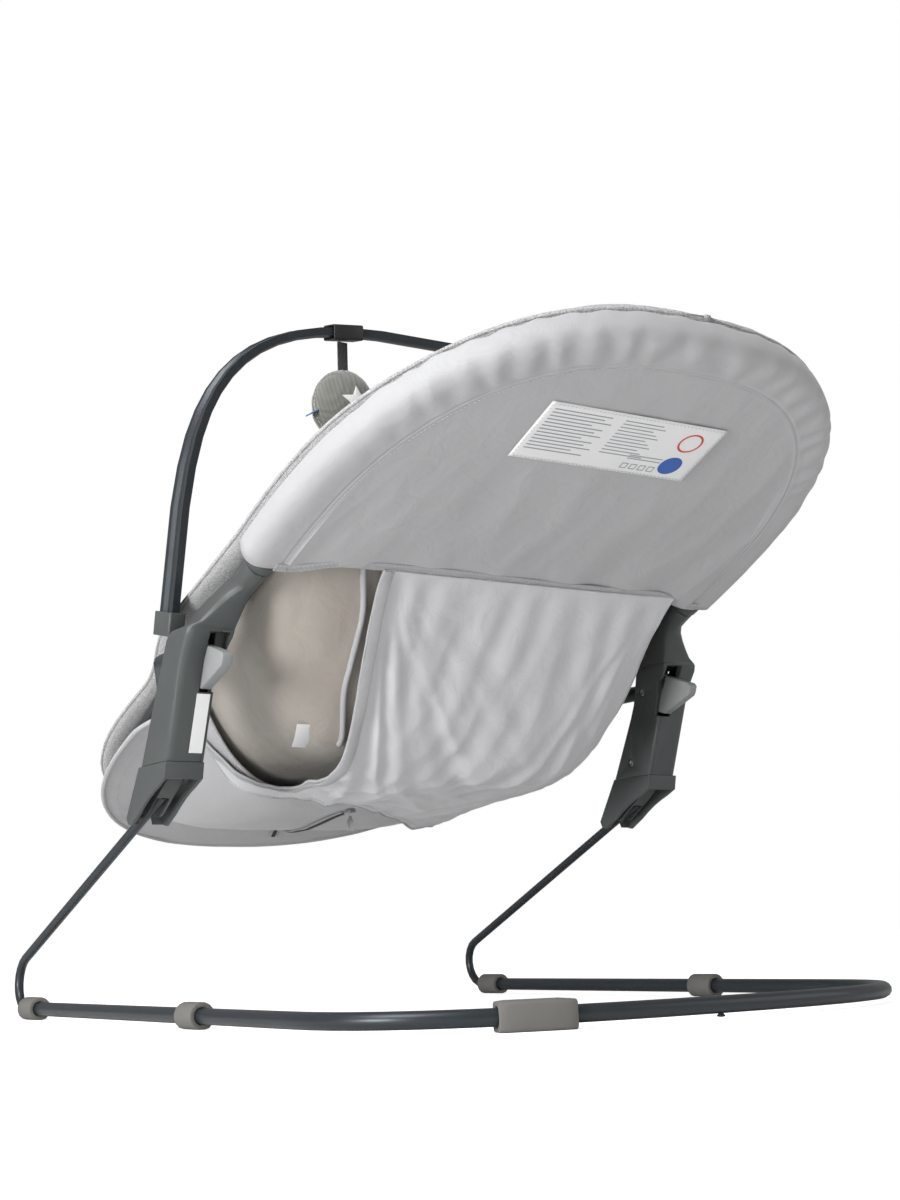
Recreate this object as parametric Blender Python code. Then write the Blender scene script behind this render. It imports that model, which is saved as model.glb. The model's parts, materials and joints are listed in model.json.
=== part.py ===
"""Baby bouncer seat: floor frame, sprung arms, hinged side housings, padded seat and toy bar.

Frame: +X is the seat's width, +Y points from the foot end to the head end, +Z is up.
The floor is z = 0. Side views are (y, z) pairs, measured from a point on the floor that
stand_at_origin() finally moves to the middle of the whole outline.
"""

import math

import bmesh
import bpy
from mathutils import Vector

# ---------------------------------------------------------------- driving dimensions, metres
GAP = 0.0003                    # between pieces that touch
SIDES = 12                      # facets of a round section

# Floor frame
TUBE_R = 0.006                  # floor tube
TUBE_WALL = 0.0012
SOLE = 0.0035                   # rubber under the tube
TUBE_MOUTH_Y = -0.486           # open front ends of the tube
ARC_START_Y = 0.0               # where the straight legs end and the rear arc begins
ARC_DEPTH = 0.146
ARC_POWER = 2.6                 # superellipse exponent of the rear arc
FOOT_RUBBER = 0.0042
FRONT_FOOT = (-0.490, -0.460)   # y of the two ends of each foot
MID_FOOT = (-0.160, -0.132)
PAD_FROM_X = 0.118              # rear anti-slip pad, along the rear arc
PAD_TO_X = 0.167
PLUG_R = 0.0028

# Sprung arms
ARM_R = 0.004
ARM_BEND_R = 0.0227
ARM_ROOT_DEPTH = 0.013          # length of arm inside the tube's mouth
ARM_TOE_IN = 0.0085             # the arm leans in by this on its way up
ARM_SLOPE = math.radians(23.3)
PIVOT = (-0.203, 0.1915)        # recline axis, side view
ARM_AIM = (-0.200, 0.1835)      # point that the straight part of the arm points at
ARM_SHORT = 0.0185              # the arm ends this far before it
PIN_R = 0.003
BRACKET_R = 0.0085
BRACKET_WIDTH = 0.0140
BRACKET_LENGTH = 0.028
BRACKET_TIP_R = 0.0068
SECTOR_R = 0.0172
SECTOR_WIDTH = 0.0042
HUB_R = 0.0072
SECTOR_SPAN = (22.0, 92.0)      # degrees from straight rearwards that the toothed part covers
RECLINE_STEPS = (0.0, 10.0, 20.0, 30.0)   # degrees from the most upright position
NOTCH = 0.0016

# Seat outline (side view of the frame tube's centre line, and half widths)
NECK_X = 0.211                  # frame tube at the housing necks
NECK = (-0.100, 0.343)          # side view of the same point
BACK_ANGLE = math.radians(24.0)
LEG_ANGLE = math.radians(20.0)
BACK_HALF = 0.232               # widest half width of the backrest
BACK_BULGE = 0.020              # where the backrest's outline begins to curve in
BACK_LENGTH = 0.310
BACK_POWER = 2.5
LEG_HALF = 0.2075
NARROWING = (-0.130, -0.240)    # stretch over which the outline narrows to the legs
LEG_STRAIGHT = 0.270            # neck to the start of the rounded foot end
LEG_LENGTH = 0.508
LEG_POWER = 2.35
FRAME_TUBE_R = 0.007
BACK_INSET = 0.0195             # frame tube centre inside the cover's outline
LEG_INSET = 0.015

# Side housings
WALL = 0.0025
HOUSING_IN = NECK_X + 0.0117    # inner face
HOUSING_WIDTH = 0.0325
SEAM_Z = 0.1985
HOUSING_TOP_Z = 0.2975
HOUSING_FRONT = (-0.2285, 0.508)    # y at the seam and lean, dy/dz
HOUSING_REAR = (-0.1777, 0.361)
COVER_PLATE = 0.003
COVER_TOP_Z = 0.2955
CORNER_R = 0.007
INNER_CORNER_R = 0.003
COLLAR_R = 0.0112
COLLAR_LENGTH = 0.011
SCREW_LENGTH = 0.0075

# Release triggers, in the frame of the housing's rear face
SLOT_SIDES = (0.2180, 0.2358)   # x of the slot's sides
SLOT_FROM = 0.0545
SLOT_TO = 0.1030
LABEL_FROM = 0.007
LABEL_WIDTH = 0.0110
TRIGGER_WIDTH = 0.0090
TRIGGER_FROM = 0.0575
TRIGGER_TO = 0.0915
TRIGGER_REACH = 0.030
TRIGGER_TRAVEL = 0.010

# Toy bar
BAR_HALF = 0.2395
BAR_RISE = 0.236
BAR_POWER = 3.7
BAR_TILT = math.radians(13.0)
BAR_FOOT = (-0.200, 0.330)      # side view of the legs where the arch begins
BAR_THICK = 0.008
BAR_DEPTH_LOW = 0.024
BAR_DEPTH_TOP = 0.013
BAR_PLUG = 0.024                # leg below the arch's start, into the socket
SOCKET_WALL = 0.0025
TOY_X = 0.108
TOY_HALF_WIDTH = 0.029
TOY_HEIGHT = 0.057
STRAP_LENGTH = 0.0245
CLIP_WALL = 0.0015
CLIP_PLAY = 0.0009
CLIP_TURN = 0.055               # half the clip's length, as a turn of the arch

# Soft goods
PAD_THICK = 0.015
PAD_LIFT = 0.0135               # pad's underside above the frame tube's centre plane
SAG = 0.130                     # depth of the seat pan
SAG_FROM = -0.070               # y where the pan starts
SAG_TO = -0.510
SAG_POWER = 5
SAG_RISE = 0.26                 # share of the pan over which it deepens
SAG_FALL = 0.60                 # exponent with which it runs out
SHEET = 0.003                   # cover, pocket and apron
COVER_DROP = 0.0090             # rear cover's front side below the frame plane
COVER_EDGE = 0.0125             # top of the cover's side wall above the frame plane
COVER_FROM = 0.0235             # the cover's bottom seam, from the neck
SOFT_GAP = 0.0014               # between nested soft layers
SLING_GAP = 0.0034
PAD_INSET = 0.0015
PAD_ROUND = 0.016               # width over which the pad's edge is rounded
PAN_EDGE = 0.036                # frame tube's strip along the outline, which does not sag
SLING = (-0.385, -0.012)        # each pair is a stretch along the seat, from the neck
SLING_THICK = 0.004
POCKET_END = -0.185
POCKET_DRAWN = 0.16             # share by which its rear edge is narrower than the seat
APRON_TOP = (0.118, -0.174)     # x of the apron's corners at the cover's seam
APRON_HEM = (0.144, -0.150)     # and at its front hem
HEM_AT = -0.172                 # the hem on the near side of the middle
HEM_FAR = 0.118                 # how much further it reaches on the far side
HEM_CORNER = 0.050              # and at its near corner
ZIP_AT = (0.020, -0.222)
LABEL_RISE = (0.1690, 0.2310)
LABEL_SIDES = (-0.070, 0.094)
LABEL_THICK = 0.0005
WEB_WIDTH = 0.022
WEB = 0.0016
CROTCH = (-0.250, -0.150)
WAIST = -0.116                  # lower edge of the waist straps
BUCKLE_AT = -0.120
BUCKLE_LIFT = 0.0045
BUCKLE_SIZE = (0.011, 0.0295, 0.024)
BUTTON_R = 0.0095

SIDES_OF_SEAT = (("left", 1.0), ("right", -1.0))

X_AXIS = Vector((1, 0, 0))
Y_AXIS = Vector((0, 1, 0))
Z_AXIS = Vector((0, 0, 1))

# ---------------------------------------------------------------- derived places
TUBE_Z = SOLE + TUBE_R
HOUSING_OUT = HOUSING_IN + HOUSING_WIDTH
HOUSING_MID = (HOUSING_IN + HOUSING_OUT) / 2
LEG_X = HOUSING_MID + ARM_TOE_IN
SECTOR_X = HOUSING_IN + WALL + 4 * GAP
REAR_LEAN = math.atan(HOUSING_REAR[1])
REAR_UP = Vector((0, math.sin(REAR_LEAN), math.cos(REAR_LEAN)))
REAR_OUT = Vector((0, math.cos(REAR_LEAN), -math.sin(REAR_LEAN)))
REAR_FOOT = Vector((0, HOUSING_REAR[0], SEAM_Z))
BACK_DIR = Vector((0, math.cos(BACK_ANGLE), math.sin(BACK_ANGLE)))
BACK_OUT = Vector((0, -math.sin(BACK_ANGLE), math.cos(BACK_ANGLE)))
ARM_DIR = Vector((0, math.cos(ARM_SLOPE), math.sin(ARM_SLOPE)))
PIVOT_POINT = Vector((0, PIVOT[0], PIVOT[1]))
ARM_TOP = Vector((0, ARM_AIM[0], ARM_AIM[1]))
BOUNCE_POINT = Vector((0, TUBE_MOUTH_Y + ARM_ROOT_DEPTH / 2, TUBE_Z))
BAR_UP = Vector((0, math.sin(BAR_TILT), math.cos(BAR_TILT)))
BAR_FORE = Vector((0, math.cos(BAR_TILT), -math.sin(BAR_TILT)))
BAR_BASE = Vector((0, BAR_FOOT[0], BAR_FOOT[1]))

FINISHES = {
    "frame_paint": ((0.045, 0.052, 0.058), 0.35, 0.6),
    "rubber": ((0.20, 0.19, 0.175), 0.85, 0.0),
    "dark_plastic": ((0.095, 0.102, 0.105), 0.5, 0.0),
    "trigger_plastic": ((0.23, 0.24, 0.24), 0.45, 0.0),
    "steel": ((0.55, 0.55, 0.56), 0.3, 1.0),
    "black_plastic": ((0.012, 0.012, 0.013), 0.45, 0.0),
    "melange_knit": ((0.42, 0.42, 0.43), 0.95, 0.0),
    "grey_polyester": ((0.50, 0.50, 0.51), 0.8, 0.0),
    "taupe_satin": ((0.28, 0.25, 0.22), 0.45, 0.0),
    "webbing": ((0.10, 0.10, 0.105), 0.9, 0.0),
    "label_white": ((0.85, 0.85, 0.85), 0.6, 0.0),
    "plush": ((0.27, 0.27, 0.25), 1.0, 0.0),
}

AXES = {}


# ---------------------------------------------------------------- small helpers
def clear_scene():
    for ob in list(bpy.data.objects):
        bpy.data.objects.remove(ob, do_unlink=True)


def axis_empty(name, parent, point):
    """An empty at a joint's axis, which the pieces of one moving body hang from."""
    empty = bpy.data.objects.new(name + "_axis", None)
    bpy.context.collection.objects.link(empty)
    AXES[name] = (empty, Vector(point))
    if parent:
        holder, place = AXES[parent]
        empty.parent = holder
        empty.location = Vector(point) - place


def finish_material(name, finish):
    colour, roughness, metallic = FINISHES[finish]
    material = bpy.data.materials.new(name)
    material.use_nodes = True
    shader = material.node_tree.nodes["Principled BSDF"]
    shader.inputs["Base Color"].default_value = (*colour, 1)
    shader.inputs["Roughness"].default_value = roughness
    shader.inputs["Metallic"].default_value = metallic
    return material


def piece(name, finish, body, shape):
    """A named solid from (points, faces), hung from its body's axis."""
    holder, place = AXES[body]
    points, faces = shape
    mesh = bpy.data.meshes.new(name)
    mesh.from_pydata([Vector(p) - place for p in points], [], faces)
    bm = bmesh.new()
    bm.from_mesh(mesh)
    bmesh.ops.recalc_face_normals(bm, faces=bm.faces)
    bm.to_mesh(mesh)
    bm.free()
    mesh.shade_smooth()
    mesh.set_sharp_from_angle(angle=math.radians(38))
    ob = bpy.data.objects.new(name, mesh)
    bpy.context.collection.objects.link(ob)
    ob.parent = holder
    if finish:
        mesh.materials.append(finish_material(name, finish))
    return ob


def boolean(ob, body, shape, operation="DIFFERENCE"):
    """Adds a hidden tool solid and a Boolean modifier that uses it."""
    tool = piece(ob.name + "_tool", None, body, shape)
    tool.hide_render = True
    tool.display_type = "WIRE"
    modifier = ob.modifiers.new(operation.title(), "BOOLEAN")
    modifier.object = tool
    modifier.operation = operation
    modifier.solver = "EXACT"


def loft(rings, wrap=False):
    """Joins equal rings of points by quads; the ends are capped, or joined when wrap is set."""
    count = len(rings[0])
    points = [p for ring in rings for p in ring]
    faces = []
    spans = len(rings) if wrap else len(rings) - 1
    for i in range(spans):
        here = i * count
        there = (i + 1) % len(rings) * count
        for j in range(count):
            k = (j + 1) % count
            faces.append((here + j, here + k, there + k, there + j))
    if not wrap:
        faces.append(tuple(range(count)))
        faces.append(tuple(range(len(points) - count, len(points))))
    return points, faces


def circle(radius, sides=SIDES):
    turn = [2 * math.pi * (i + 0.5) / sides for i in range(sides)]
    return [(radius * math.cos(a), radius * math.sin(a)) for a in turn]


def rounded_rectangle(width, depth, radius, steps=3):
    """Offsets round a rectangle with arc corners, (across, along) from its centre."""
    outline = []
    for corner, (sx, sy) in enumerate(((1, 1), (-1, 1), (-1, -1), (1, -1))):
        for i in range(steps + 1):
            a = math.pi / 2 * (corner + i / steps)
            x = sx * (width / 2 - radius) + radius * math.cos(a)
            y = sy * (depth / 2 - radius) + radius * math.sin(a)
            outline.append((x, y))
    return outline


def frames(path, side):
    """Side and normal vectors at each point of a path, square to its direction."""
    result = []
    for i, point in enumerate(path):
        ahead = path[min(i + 1, len(path) - 1)]
        behind = path[max(i - 1, 0)]
        direction = (ahead - behind).normalized()
        across = (side - direction * side.dot(direction)).normalized()
        result.append((point, across, direction.cross(across)))
    return result


def sweep_rings(path, side, section):
    """One ring per path point; section is a list of offsets or a function of the index."""
    rings = []
    for i, (point, across, normal) in enumerate(frames(path, side)):
        offsets = section(i) if callable(section) else section
        rings.append([point + across * a + normal * b for a, b in offsets])
    return rings


def sweep(path, side, section):
    return loft(sweep_rings(path, side, section))


def hollow_tube(path, side, outer, inner):
    walls = sweep_rings(path, side, circle(outer))
    bore = sweep_rings(path, side, circle(inner))
    return loft(walls + bore[::-1], wrap=True)


def rod(start, end, radius, sides=SIDES):
    start, end = Vector(start), Vector(end)
    side = Z_AXIS if abs((end - start).normalized().dot(Z_AXIS)) < 0.9 else X_AXIS
    return sweep([start, end], side, circle(radius, sides))


def turned(start, direction, profile, sides=SIDES):
    """A turned solid: profile is (distance along the axis, radius) pairs."""
    start = Vector(start)
    direction = Vector(direction).normalized()
    side = Z_AXIS if abs(direction.dot(Z_AXIS)) < 0.9 else X_AXIS
    across = (side - direction * side.dot(direction)).normalized()
    normal = direction.cross(across)
    rings = []
    for along, radius in profile:
        centre = start + direction * along
        rings.append([centre + across * a + normal * b for a, b in circle(radius, sides)])
    return loft(rings)


def prism(outline, low_x, high_x):
    """A side outline of (y, z) points given thickness along X."""
    low = [Vector((low_x, y, z)) for y, z in outline]
    high = [Vector((high_x, y, z)) for y, z in outline]
    return loft([low, high])


def box(low, high):
    outline = [(low[1], low[2]), (high[1], low[2]), (high[1], high[2]), (low[1], high[2])]
    return prism(outline, low[0], high[0])


def span_x(side, inner, outer):
    """Low and high x of a stretch that is given on the +X side."""
    return sorted((side * inner, side * outer))


def fraction(low, high, value):
    t = min(max((value - low) / (high - low), 0.0), 1.0)
    return t * t * (3 - 2 * t)


# ---------------------------------------------------------------- floor frame
def arc_point(x):
    """Centre of the rear arc of the floor tube at x, as a superellipse."""
    share = max(1 - abs(x / LEG_X) ** ARC_POWER, 0.0)
    return Vector((x, ARC_START_Y + ARC_DEPTH * share ** (1 / ARC_POWER), TUBE_Z))


def arc_at_angle(turn):
    """Centre of the rear arc at an even turn from 0 (+X leg) to pi (-X leg)."""
    c, s = math.cos(turn), math.sin(turn)
    x = math.copysign(LEG_X * abs(c) ** (2 / ARC_POWER), c)
    y = ARC_START_Y + ARC_DEPTH * max(s, 0.0) ** (2 / ARC_POWER)
    return Vector((x, y, TUBE_Z))


def floor_tube():
    steps = 26
    path = [Vector((LEG_X, TUBE_MOUTH_Y, TUBE_Z))]
    path += [arc_at_angle(math.pi * i / steps) for i in range(steps + 1)]
    path += [Vector((-LEG_X, TUBE_MOUTH_Y, TUBE_Z))]
    tube = piece("floor_tube", "frame_paint", "base",
                 hollow_tube(path, Z_AXIS, TUBE_R, TUBE_R - TUBE_WALL))
    centre = arc_point(0.0)
    below = centre - Z_AXIS * (TUBE_R + TUBE_WALL)
    boolean(tube, "base", rod(centre, below, PLUG_R - 2 * TUBE_WALL / 3 + GAP))
    stem = PLUG_R - 2 * TUBE_WALL / 3
    face = TUBE_R + 2 * GAP
    profile = ((TUBE_R - 2 * TUBE_WALL, stem), (face, stem), (face, PLUG_R), (face + 0.0012, PLUG_R),
               (face + 0.0016, PLUG_R / 2))
    piece("tube_plug", "black_plastic", "base", turned(centre, -Z_AXIS, profile))


def sleeve(path, side):
    """A rubber sleeve of D section round the floor tube, its flat side on the floor."""
    outer_r = TUBE_R + FOOT_RUBBER
    flat = -TUBE_Z
    outer = []
    for across, up in circle(outer_r, 16):
        outer.append((across, max(up, flat)))
    inner = circle(TUBE_R + GAP, 16)
    walls = sweep_upright(path, side, outer)
    bore = sweep_upright(path, side, inner)
    return loft(walls + bore[::-1], wrap=True)


def sweep_upright(path, side, section):
    """Rings whose second offset is always straight up."""
    rings = []
    for point, across, _ in frames(path, side):
        rings.append([point + across * a + Z_AXIS * b for a, b in section])
    return rings


def feet():
    for name, side in SIDES_OF_SEAT:
        for place, (front, rear) in (("front", FRONT_FOOT), ("middle", MID_FOOT)):
            path = [Vector((side * LEG_X, y, TUBE_Z)) for y in (front, rear)]
            piece(f"{place}_foot_{name}", "rubber", "base", sleeve(path, X_AXIS))


def rear_pad():
    """The long anti-slip sleeve on the rear arc."""
    steps = 8
    path = [arc_point(PAD_FROM_X + (PAD_TO_X - PAD_FROM_X) * i / steps) for i in range(steps + 1)]
    walls = []
    bore = []
    for i, (point, across, normal) in enumerate(frames(path, Z_AXIS)):
        flat = Vector((normal.x, normal.y, 0)).normalized()
        half = TUBE_R + FOOT_RUBBER - (0.0006 if i in (0, steps) else 0.0)
        section = rounded_rectangle(2 * half, TUBE_Z + half, 0.003)
        middle = (half - TUBE_Z) / 2
        walls.append([point + flat * a + Z_AXIS * (b + middle) for a, b in section])
        loose = TUBE_R + 3 * GAP
        bore.append([point + flat * a + Z_AXIS * b for a, b in circle(loose, len(section))])
    piece("rear_pad", "rubber", "base", loft(walls + bore[::-1], wrap=True))


# ---------------------------------------------------------------- sprung arms and brackets
def arm_x(z):
    """Distance of the arm from the middle plane, which shrinks on its way up."""
    share = min(max((z - TUBE_Z) / (PIVOT[1] - TUBE_Z), 0.0), 1.0)
    return LEG_X - (LEG_X - HOUSING_MID) * share


def arm_path(side):
    """Root in the tube, hairpin bend at the front, then straight up towards the housing."""
    slope = math.tan(ARM_SLOPE)
    # The bend is tangent to the root line below it and to the slanting line above it.
    centre_z = TUBE_Z + ARM_BEND_R
    line_z = centre_z + ARM_BEND_R / math.cos(ARM_SLOPE)
    centre_y = ARM_AIM[0] + (line_z - ARM_AIM[1]) / slope
    path = [(TUBE_MOUTH_Y + ARM_ROOT_DEPTH, TUBE_Z), (TUBE_MOUTH_Y, TUBE_Z)]
    steps = 9
    for i in range(steps + 1):
        a = -math.pi / 2 - (math.pi - ARM_SLOPE) * i / steps
        path.append((centre_y + ARM_BEND_R * math.cos(a), centre_z + ARM_BEND_R * math.sin(a)))
    end = ARM_TOP - ARM_DIR * ARM_SHORT
    path.append((end.y, end.z))
    return [Vector((side * arm_x(z), y, z)) for y, z in path]


def arms():
    for name, side in SIDES_OF_SEAT:
        piece(f"spring_arm_{name}", "frame_paint", "arms",
              sweep(arm_path(side), X_AXIS, circle(ARM_R)))
        bracket(name, side)
        low, high = span_x(side, HOUSING_IN + WALL + GAP, HOUSING_OUT - WALL - GAP)
        piece(f"pivot_pin_{name}", "steel", "seat",
              rod((low, *PIVOT), (high, *PIVOT), PIN_R))


def link_outline():
    """Side outline of the bracket: a disc round the pivot, tapering to a tip on the arm."""
    tip = ARM_TOP - ARM_DIR * (ARM_SHORT + BRACKET_LENGTH - BRACKET_TIP_R)
    reach = PIVOT_POINT - tip
    lean = math.atan2(reach.z, reach.y)
    open_by = math.asin((BRACKET_R - BRACKET_TIP_R) / reach.length)
    outline = []
    steps = 8
    quarter = math.pi / 2
    ends = ((PIVOT_POINT, BRACKET_R, -quarter - open_by, math.pi + 2 * open_by),
            (tip, BRACKET_TIP_R, quarter + open_by, math.pi - 2 * open_by))
    for centre, radius, start, turn in ends:
        for i in range(steps + 1):
            a = lean + start + turn * i / steps
            outline.append((centre.y + radius * math.cos(a), centre.z + radius * math.sin(a)))
    return outline


def sector_outline():
    """A hub round the pivot with a toothed part that has one notch for each recline position."""
    latch = math.pi / 2 - REAR_LEAN
    half = NOTCH / 2 / SECTOR_R
    cuts = [latch - math.radians(step) for step in RECLINE_STEPS]
    low, high = (math.radians(a) for a in SECTOR_SPAN)
    turns = [(low, SECTOR_R), (high, SECTOR_R)]
    for a in spread(low, high, 14)[1:-1]:
        if all(abs(a - c) > 1.6 * half for c in cuts):
            turns.append((a, SECTOR_R))
    for c in cuts:
        turns += [(c - half, SECTOR_R), (c - half * 0.8, SECTOR_R - NOTCH),
                  (c + half * 0.8, SECTOR_R - NOTCH), (c + half, SECTOR_R)]
    turns += [(a, HUB_R) for a in spread(high + 0.25, low - 0.25 + 2 * math.pi, 12)]
    return [(PIVOT[0] + r * math.cos(a), PIVOT[1] + r * math.sin(a)) for a, r in sorted(turns)]


def bracket(name, side):
    """U channel that holds the arm's end, and the notched sector beside it on the pin."""
    low, high = span_x(side, HOUSING_MID - BRACKET_WIDTH / 2, HOUSING_MID + BRACKET_WIDTH / 2)
    ob = piece(f"arm_bracket_{name}", "dark_plastic", "arms", prism(link_outline(), low, high))
    groove = ARM_R + GAP + 0.0006
    near = ARM_TOP - ARM_DIR * (ARM_SHORT - GAP)
    far = near - ARM_DIR * (BRACKET_LENGTH + BRACKET_R)
    down = Vector((0, ARM_DIR.z, -ARM_DIR.y))
    corners = []
    for point, drop in ((near, -groove), (far, -groove), (far, 2 * BRACKET_R), (near, 2 * BRACKET_R)):
        corner = point + down * drop
        corners.append((corner.y, corner.z))
    arm_mid = arm_x(far.z)
    g_low, g_high = span_x(side, HOUSING_MID - groove, arm_mid + groove)
    boolean(ob, "arms", prism(corners, g_low, g_high))
    b_low, b_high = span_x(side, HOUSING_IN, HOUSING_OUT)
    boolean(ob, "arms", rod((b_low, *PIVOT), (b_high, *PIVOT), PIN_R + GAP))
    s_low, s_high = span_x(side, SECTOR_X, SECTOR_X + SECTOR_WIDTH)
    sector = piece(f"recline_sector_{name}", "dark_plastic", "arms", prism(sector_outline(), s_low, s_high))
    boolean(sector, "arms", rod((b_low, *PIVOT), (b_high, *PIVOT), PIN_R + GAP))


# ---------------------------------------------------------------- side housings
def housing_y(line, z):
    return line[0] + line[1] * (z - SEAM_Z)


def inner_face(z):
    """x of the housing's inner face, which leans in towards the neck."""
    return HOUSING_IN - 0.0066 * fraction(0.252, 0.312, z) - 0.0030 * fraction(0.262, 0.300, z)


def section_outline(width, depth, outer_r, inner_r):
    """Rounded section whose outer corners and inner corners have their own radius."""
    outer = rounded_rectangle(width, depth, outer_r)
    inner = rounded_rectangle(width, depth, inner_r)
    return [o if o[0] > 0 else i for o, i in zip(outer, inner)]


def housing_rings(side):
    """Rounded sections from the seam to the top, then round the neck to the frame tube."""
    rings = []

    def ring(y, z, tilt, depth, inner, outer, radii):
        along = Vector((0, math.cos(tilt), math.sin(tilt)))
        middle = Vector((side * (inner + outer) / 2, y, z))
        section = section_outline(outer - inner, depth, *radii)
        rings.append([middle + X_AXIS * (side * a) + along * b for a, b in section])

    def level(z, inset):
        front = housing_y(HOUSING_FRONT, z) + inset
        rear = housing_y(HOUSING_REAR, z) - inset / 2 + 0.0055 * fraction(0.272, 0.294, z)
        ring((front + rear) / 2, z, 0.0, rear - front, inner_face(z), HOUSING_OUT - inset / 2,
             (CORNER_R, INNER_CORNER_R))

    level(SEAM_Z + GAP / 2, 0.0)
    for z in (0.252, 0.264, 0.274, 0.283, HOUSING_TOP_Z - 0.007):
        level(z, 0.0)
    level(HOUSING_TOP_Z - 0.002, 0.001)
    level(HOUSING_TOP_Z, 0.003)
    # The neck stands on the rear half of the box, then leans rearwards and in to the tube's axis.
    start = Vector((0, housing_y(HOUSING_REAR, HOUSING_TOP_Z) - 0.0095, HOUSING_TOP_Z + 0.0035))
    end = Vector((0, *NECK)) - BACK_DIR * 0.005
    neck_steps = 6
    x_start = (inner_face(start.z), HOUSING_OUT - 0.0090)
    x_end = (NECK_X - COLLAR_R, NECK_X + COLLAR_R)
    end_tilt = BACK_ANGLE - math.pi / 2
    for i in range(neck_steps + 1):
        t = i / neck_steps
        place = start.lerp(end, t)
        swell = 0.0045 * math.sin(math.pi * t)
        inner = x_start[0] + (x_end[0] - x_start[0]) * t
        outer = x_start[1] + (x_end[1] - x_start[1]) * min(1.0, 1.5 * t)
        depth = 0.033 + (2 * COLLAR_R - 0.033) * min(1.0, 2.2 * t)
        radius = min(CORNER_R + 0.006 * t, (outer - inner) / 2 - 0.0002, depth / 2 - 0.0002)
        inner_r = INNER_CORNER_R + (radius - INNER_CORNER_R) * t
        ring(place.y - swell, place.z + swell, end_tilt * t, depth, inner, outer, (radius, inner_r))
    return rings


def cavity_outline(low_z, high_z):
    """Side outline of the housing's hollow, one wall inside its front and rear."""
    lean_wall = WALL * 1.1
    return [(housing_y(HOUSING_FRONT, low_z) + lean_wall, low_z),
            (housing_y(HOUSING_REAR, low_z) - lean_wall, low_z),
            (housing_y(HOUSING_REAR, high_z) - lean_wall, high_z),
            (housing_y(HOUSING_FRONT, high_z) + lean_wall, high_z)]


def rear_frame(up, out):
    """Side view point in the frame of the housing's rear face."""
    point = REAR_FOOT + REAR_UP * up + REAR_OUT * out
    return (point.y, point.z)


def screw_places():
    return {"upper": (-0.1790, 0.2740), "lower": (-0.2030, 0.2115)}


def housing(name, side):
    shell = piece(f"housing_{name}", "dark_plastic", "seat", loft(housing_rings(side)))
    split = HOUSING_IN + COVER_PLATE
    top = COVER_TOP_Z
    low, high = span_x(side, HOUSING_IN - 0.05, split + GAP)
    boolean(shell, "seat", box((low, -0.4, 0.0), (high, 0.2, top + GAP)))
    low, high = span_x(side, split - 0.001, HOUSING_OUT - WALL)
    boolean(shell, "seat", prism(cavity_outline(SEAM_Z - 0.01, HOUSING_TOP_Z - WALL), low, high))
    slot = [rear_frame(SLOT_FROM, -0.006), rear_frame(SLOT_FROM, 0.012),
            rear_frame(SLOT_TO, 0.012), rear_frame(SLOT_TO, -0.006)]
    low, high = span_x(side, split - 0.001, SLOT_SIDES[1])
    boolean(shell, "seat", prism(slot, low, high))
    neck = Vector((side * NECK_X, *NECK))
    boolean(shell, "seat", rod(neck - BACK_DIR * 0.020, neck + BACK_DIR * 0.02, FRAME_TUBE_R + GAP))
    boolean(shell, "seat", leg_tube_bore(side))

    plate = piece(f"housing_cover_{name}", "dark_plastic", "seat", loft(housing_rings(side)))
    low, high = span_x(side, HOUSING_IN - 0.05, split)
    boolean(plate, "seat", box((low, -0.4, 0.0), (high, 0.2, top)), "INTERSECT")
    low, high = span_x(side, SLOT_SIDES[0], split + 0.001)
    boolean(plate, "seat", prism(slot, low, high))
    for place, (y, z) in screw_places().items():
        at = inner_face(z)
        face = Vector((side * (at - 0.002), y, z))
        inward = X_AXIS * side
        profile = ((0.0, 0.0036), (0.0036, 0.0036), (0.0036, 0.0017), (0.0130, 0.0017))
        boolean(plate, "seat", turned(face, inward, profile))
        seat_face = Vector((side * (at + 0.0006), y, z))
        head = ((0.0, 0.0026), (0.0005, 0.0031), (0.0008, 0.0031), (0.0008, 0.0013),
                (SCREW_LENGTH, 0.0013), (SCREW_LENGTH + 0.001, 0.0004))
        screw = piece(f"cover_screw_{name}_{place}", "steel", "seat", turned(seat_face, inward, head))
        # cross recess
        for half_y, half_z in ((0.0019, 0.0004), (0.0004, 0.0019)):
            low, high = span_x(side, at - 0.001, at + 0.0011)
            boolean(screw, "seat", box((low, y - half_y, z - half_z), (high, y + half_y, z + half_z)))


def rating_label():
    """Blank label on the rear face of the left housing, below the trigger's slot."""
    outline = [rear_frame(LABEL_FROM, GAP), rear_frame(LABEL_FROM, GAP + LABEL_THICK),
               rear_frame(SLOT_FROM - 0.001, GAP + LABEL_THICK), rear_frame(SLOT_FROM - 0.001, GAP)]
    low = HOUSING_IN + COVER_PLATE + 2 * GAP
    piece("rating_label", "label_white", "seat", prism(outline, low, low + LABEL_WIDTH))


def cap_outline(inset=0.0, floor=0.0):
    """Side outline of the pivot cap; its open underside is one shallow arch."""
    top = SEAM_Z - GAP / 2
    front = housing_y(HOUSING_FRONT, top)
    rear = housing_y(HOUSING_REAR, top)
    tip = Vector((0, -0.2525, 0.1600))
    outline = [(front + inset, top), (rear - inset, top), (rear - 0.0025 - inset, top - 0.0125 + floor)]
    arch_from = Vector((0, rear - 0.004 - inset, top - 0.0145 + floor))
    arch_to = Vector((0, tip.y + 0.014, tip.z - 0.0045 + floor))
    steps = 6
    for i in range(1, steps):
        t = i / steps
        point = arch_from.lerp(arch_to, t)
        outline.append((point.y, point.z + 0.0035 * math.sin(math.pi * t)))
    outline += [(tip.y + 0.0085 + inset, tip.z - 0.0060 + floor),
                (tip.y + 0.0025 + inset, tip.z - 0.0045 + floor),
                (tip.y + inset, tip.z + 0.001)]
    return outline


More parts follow.
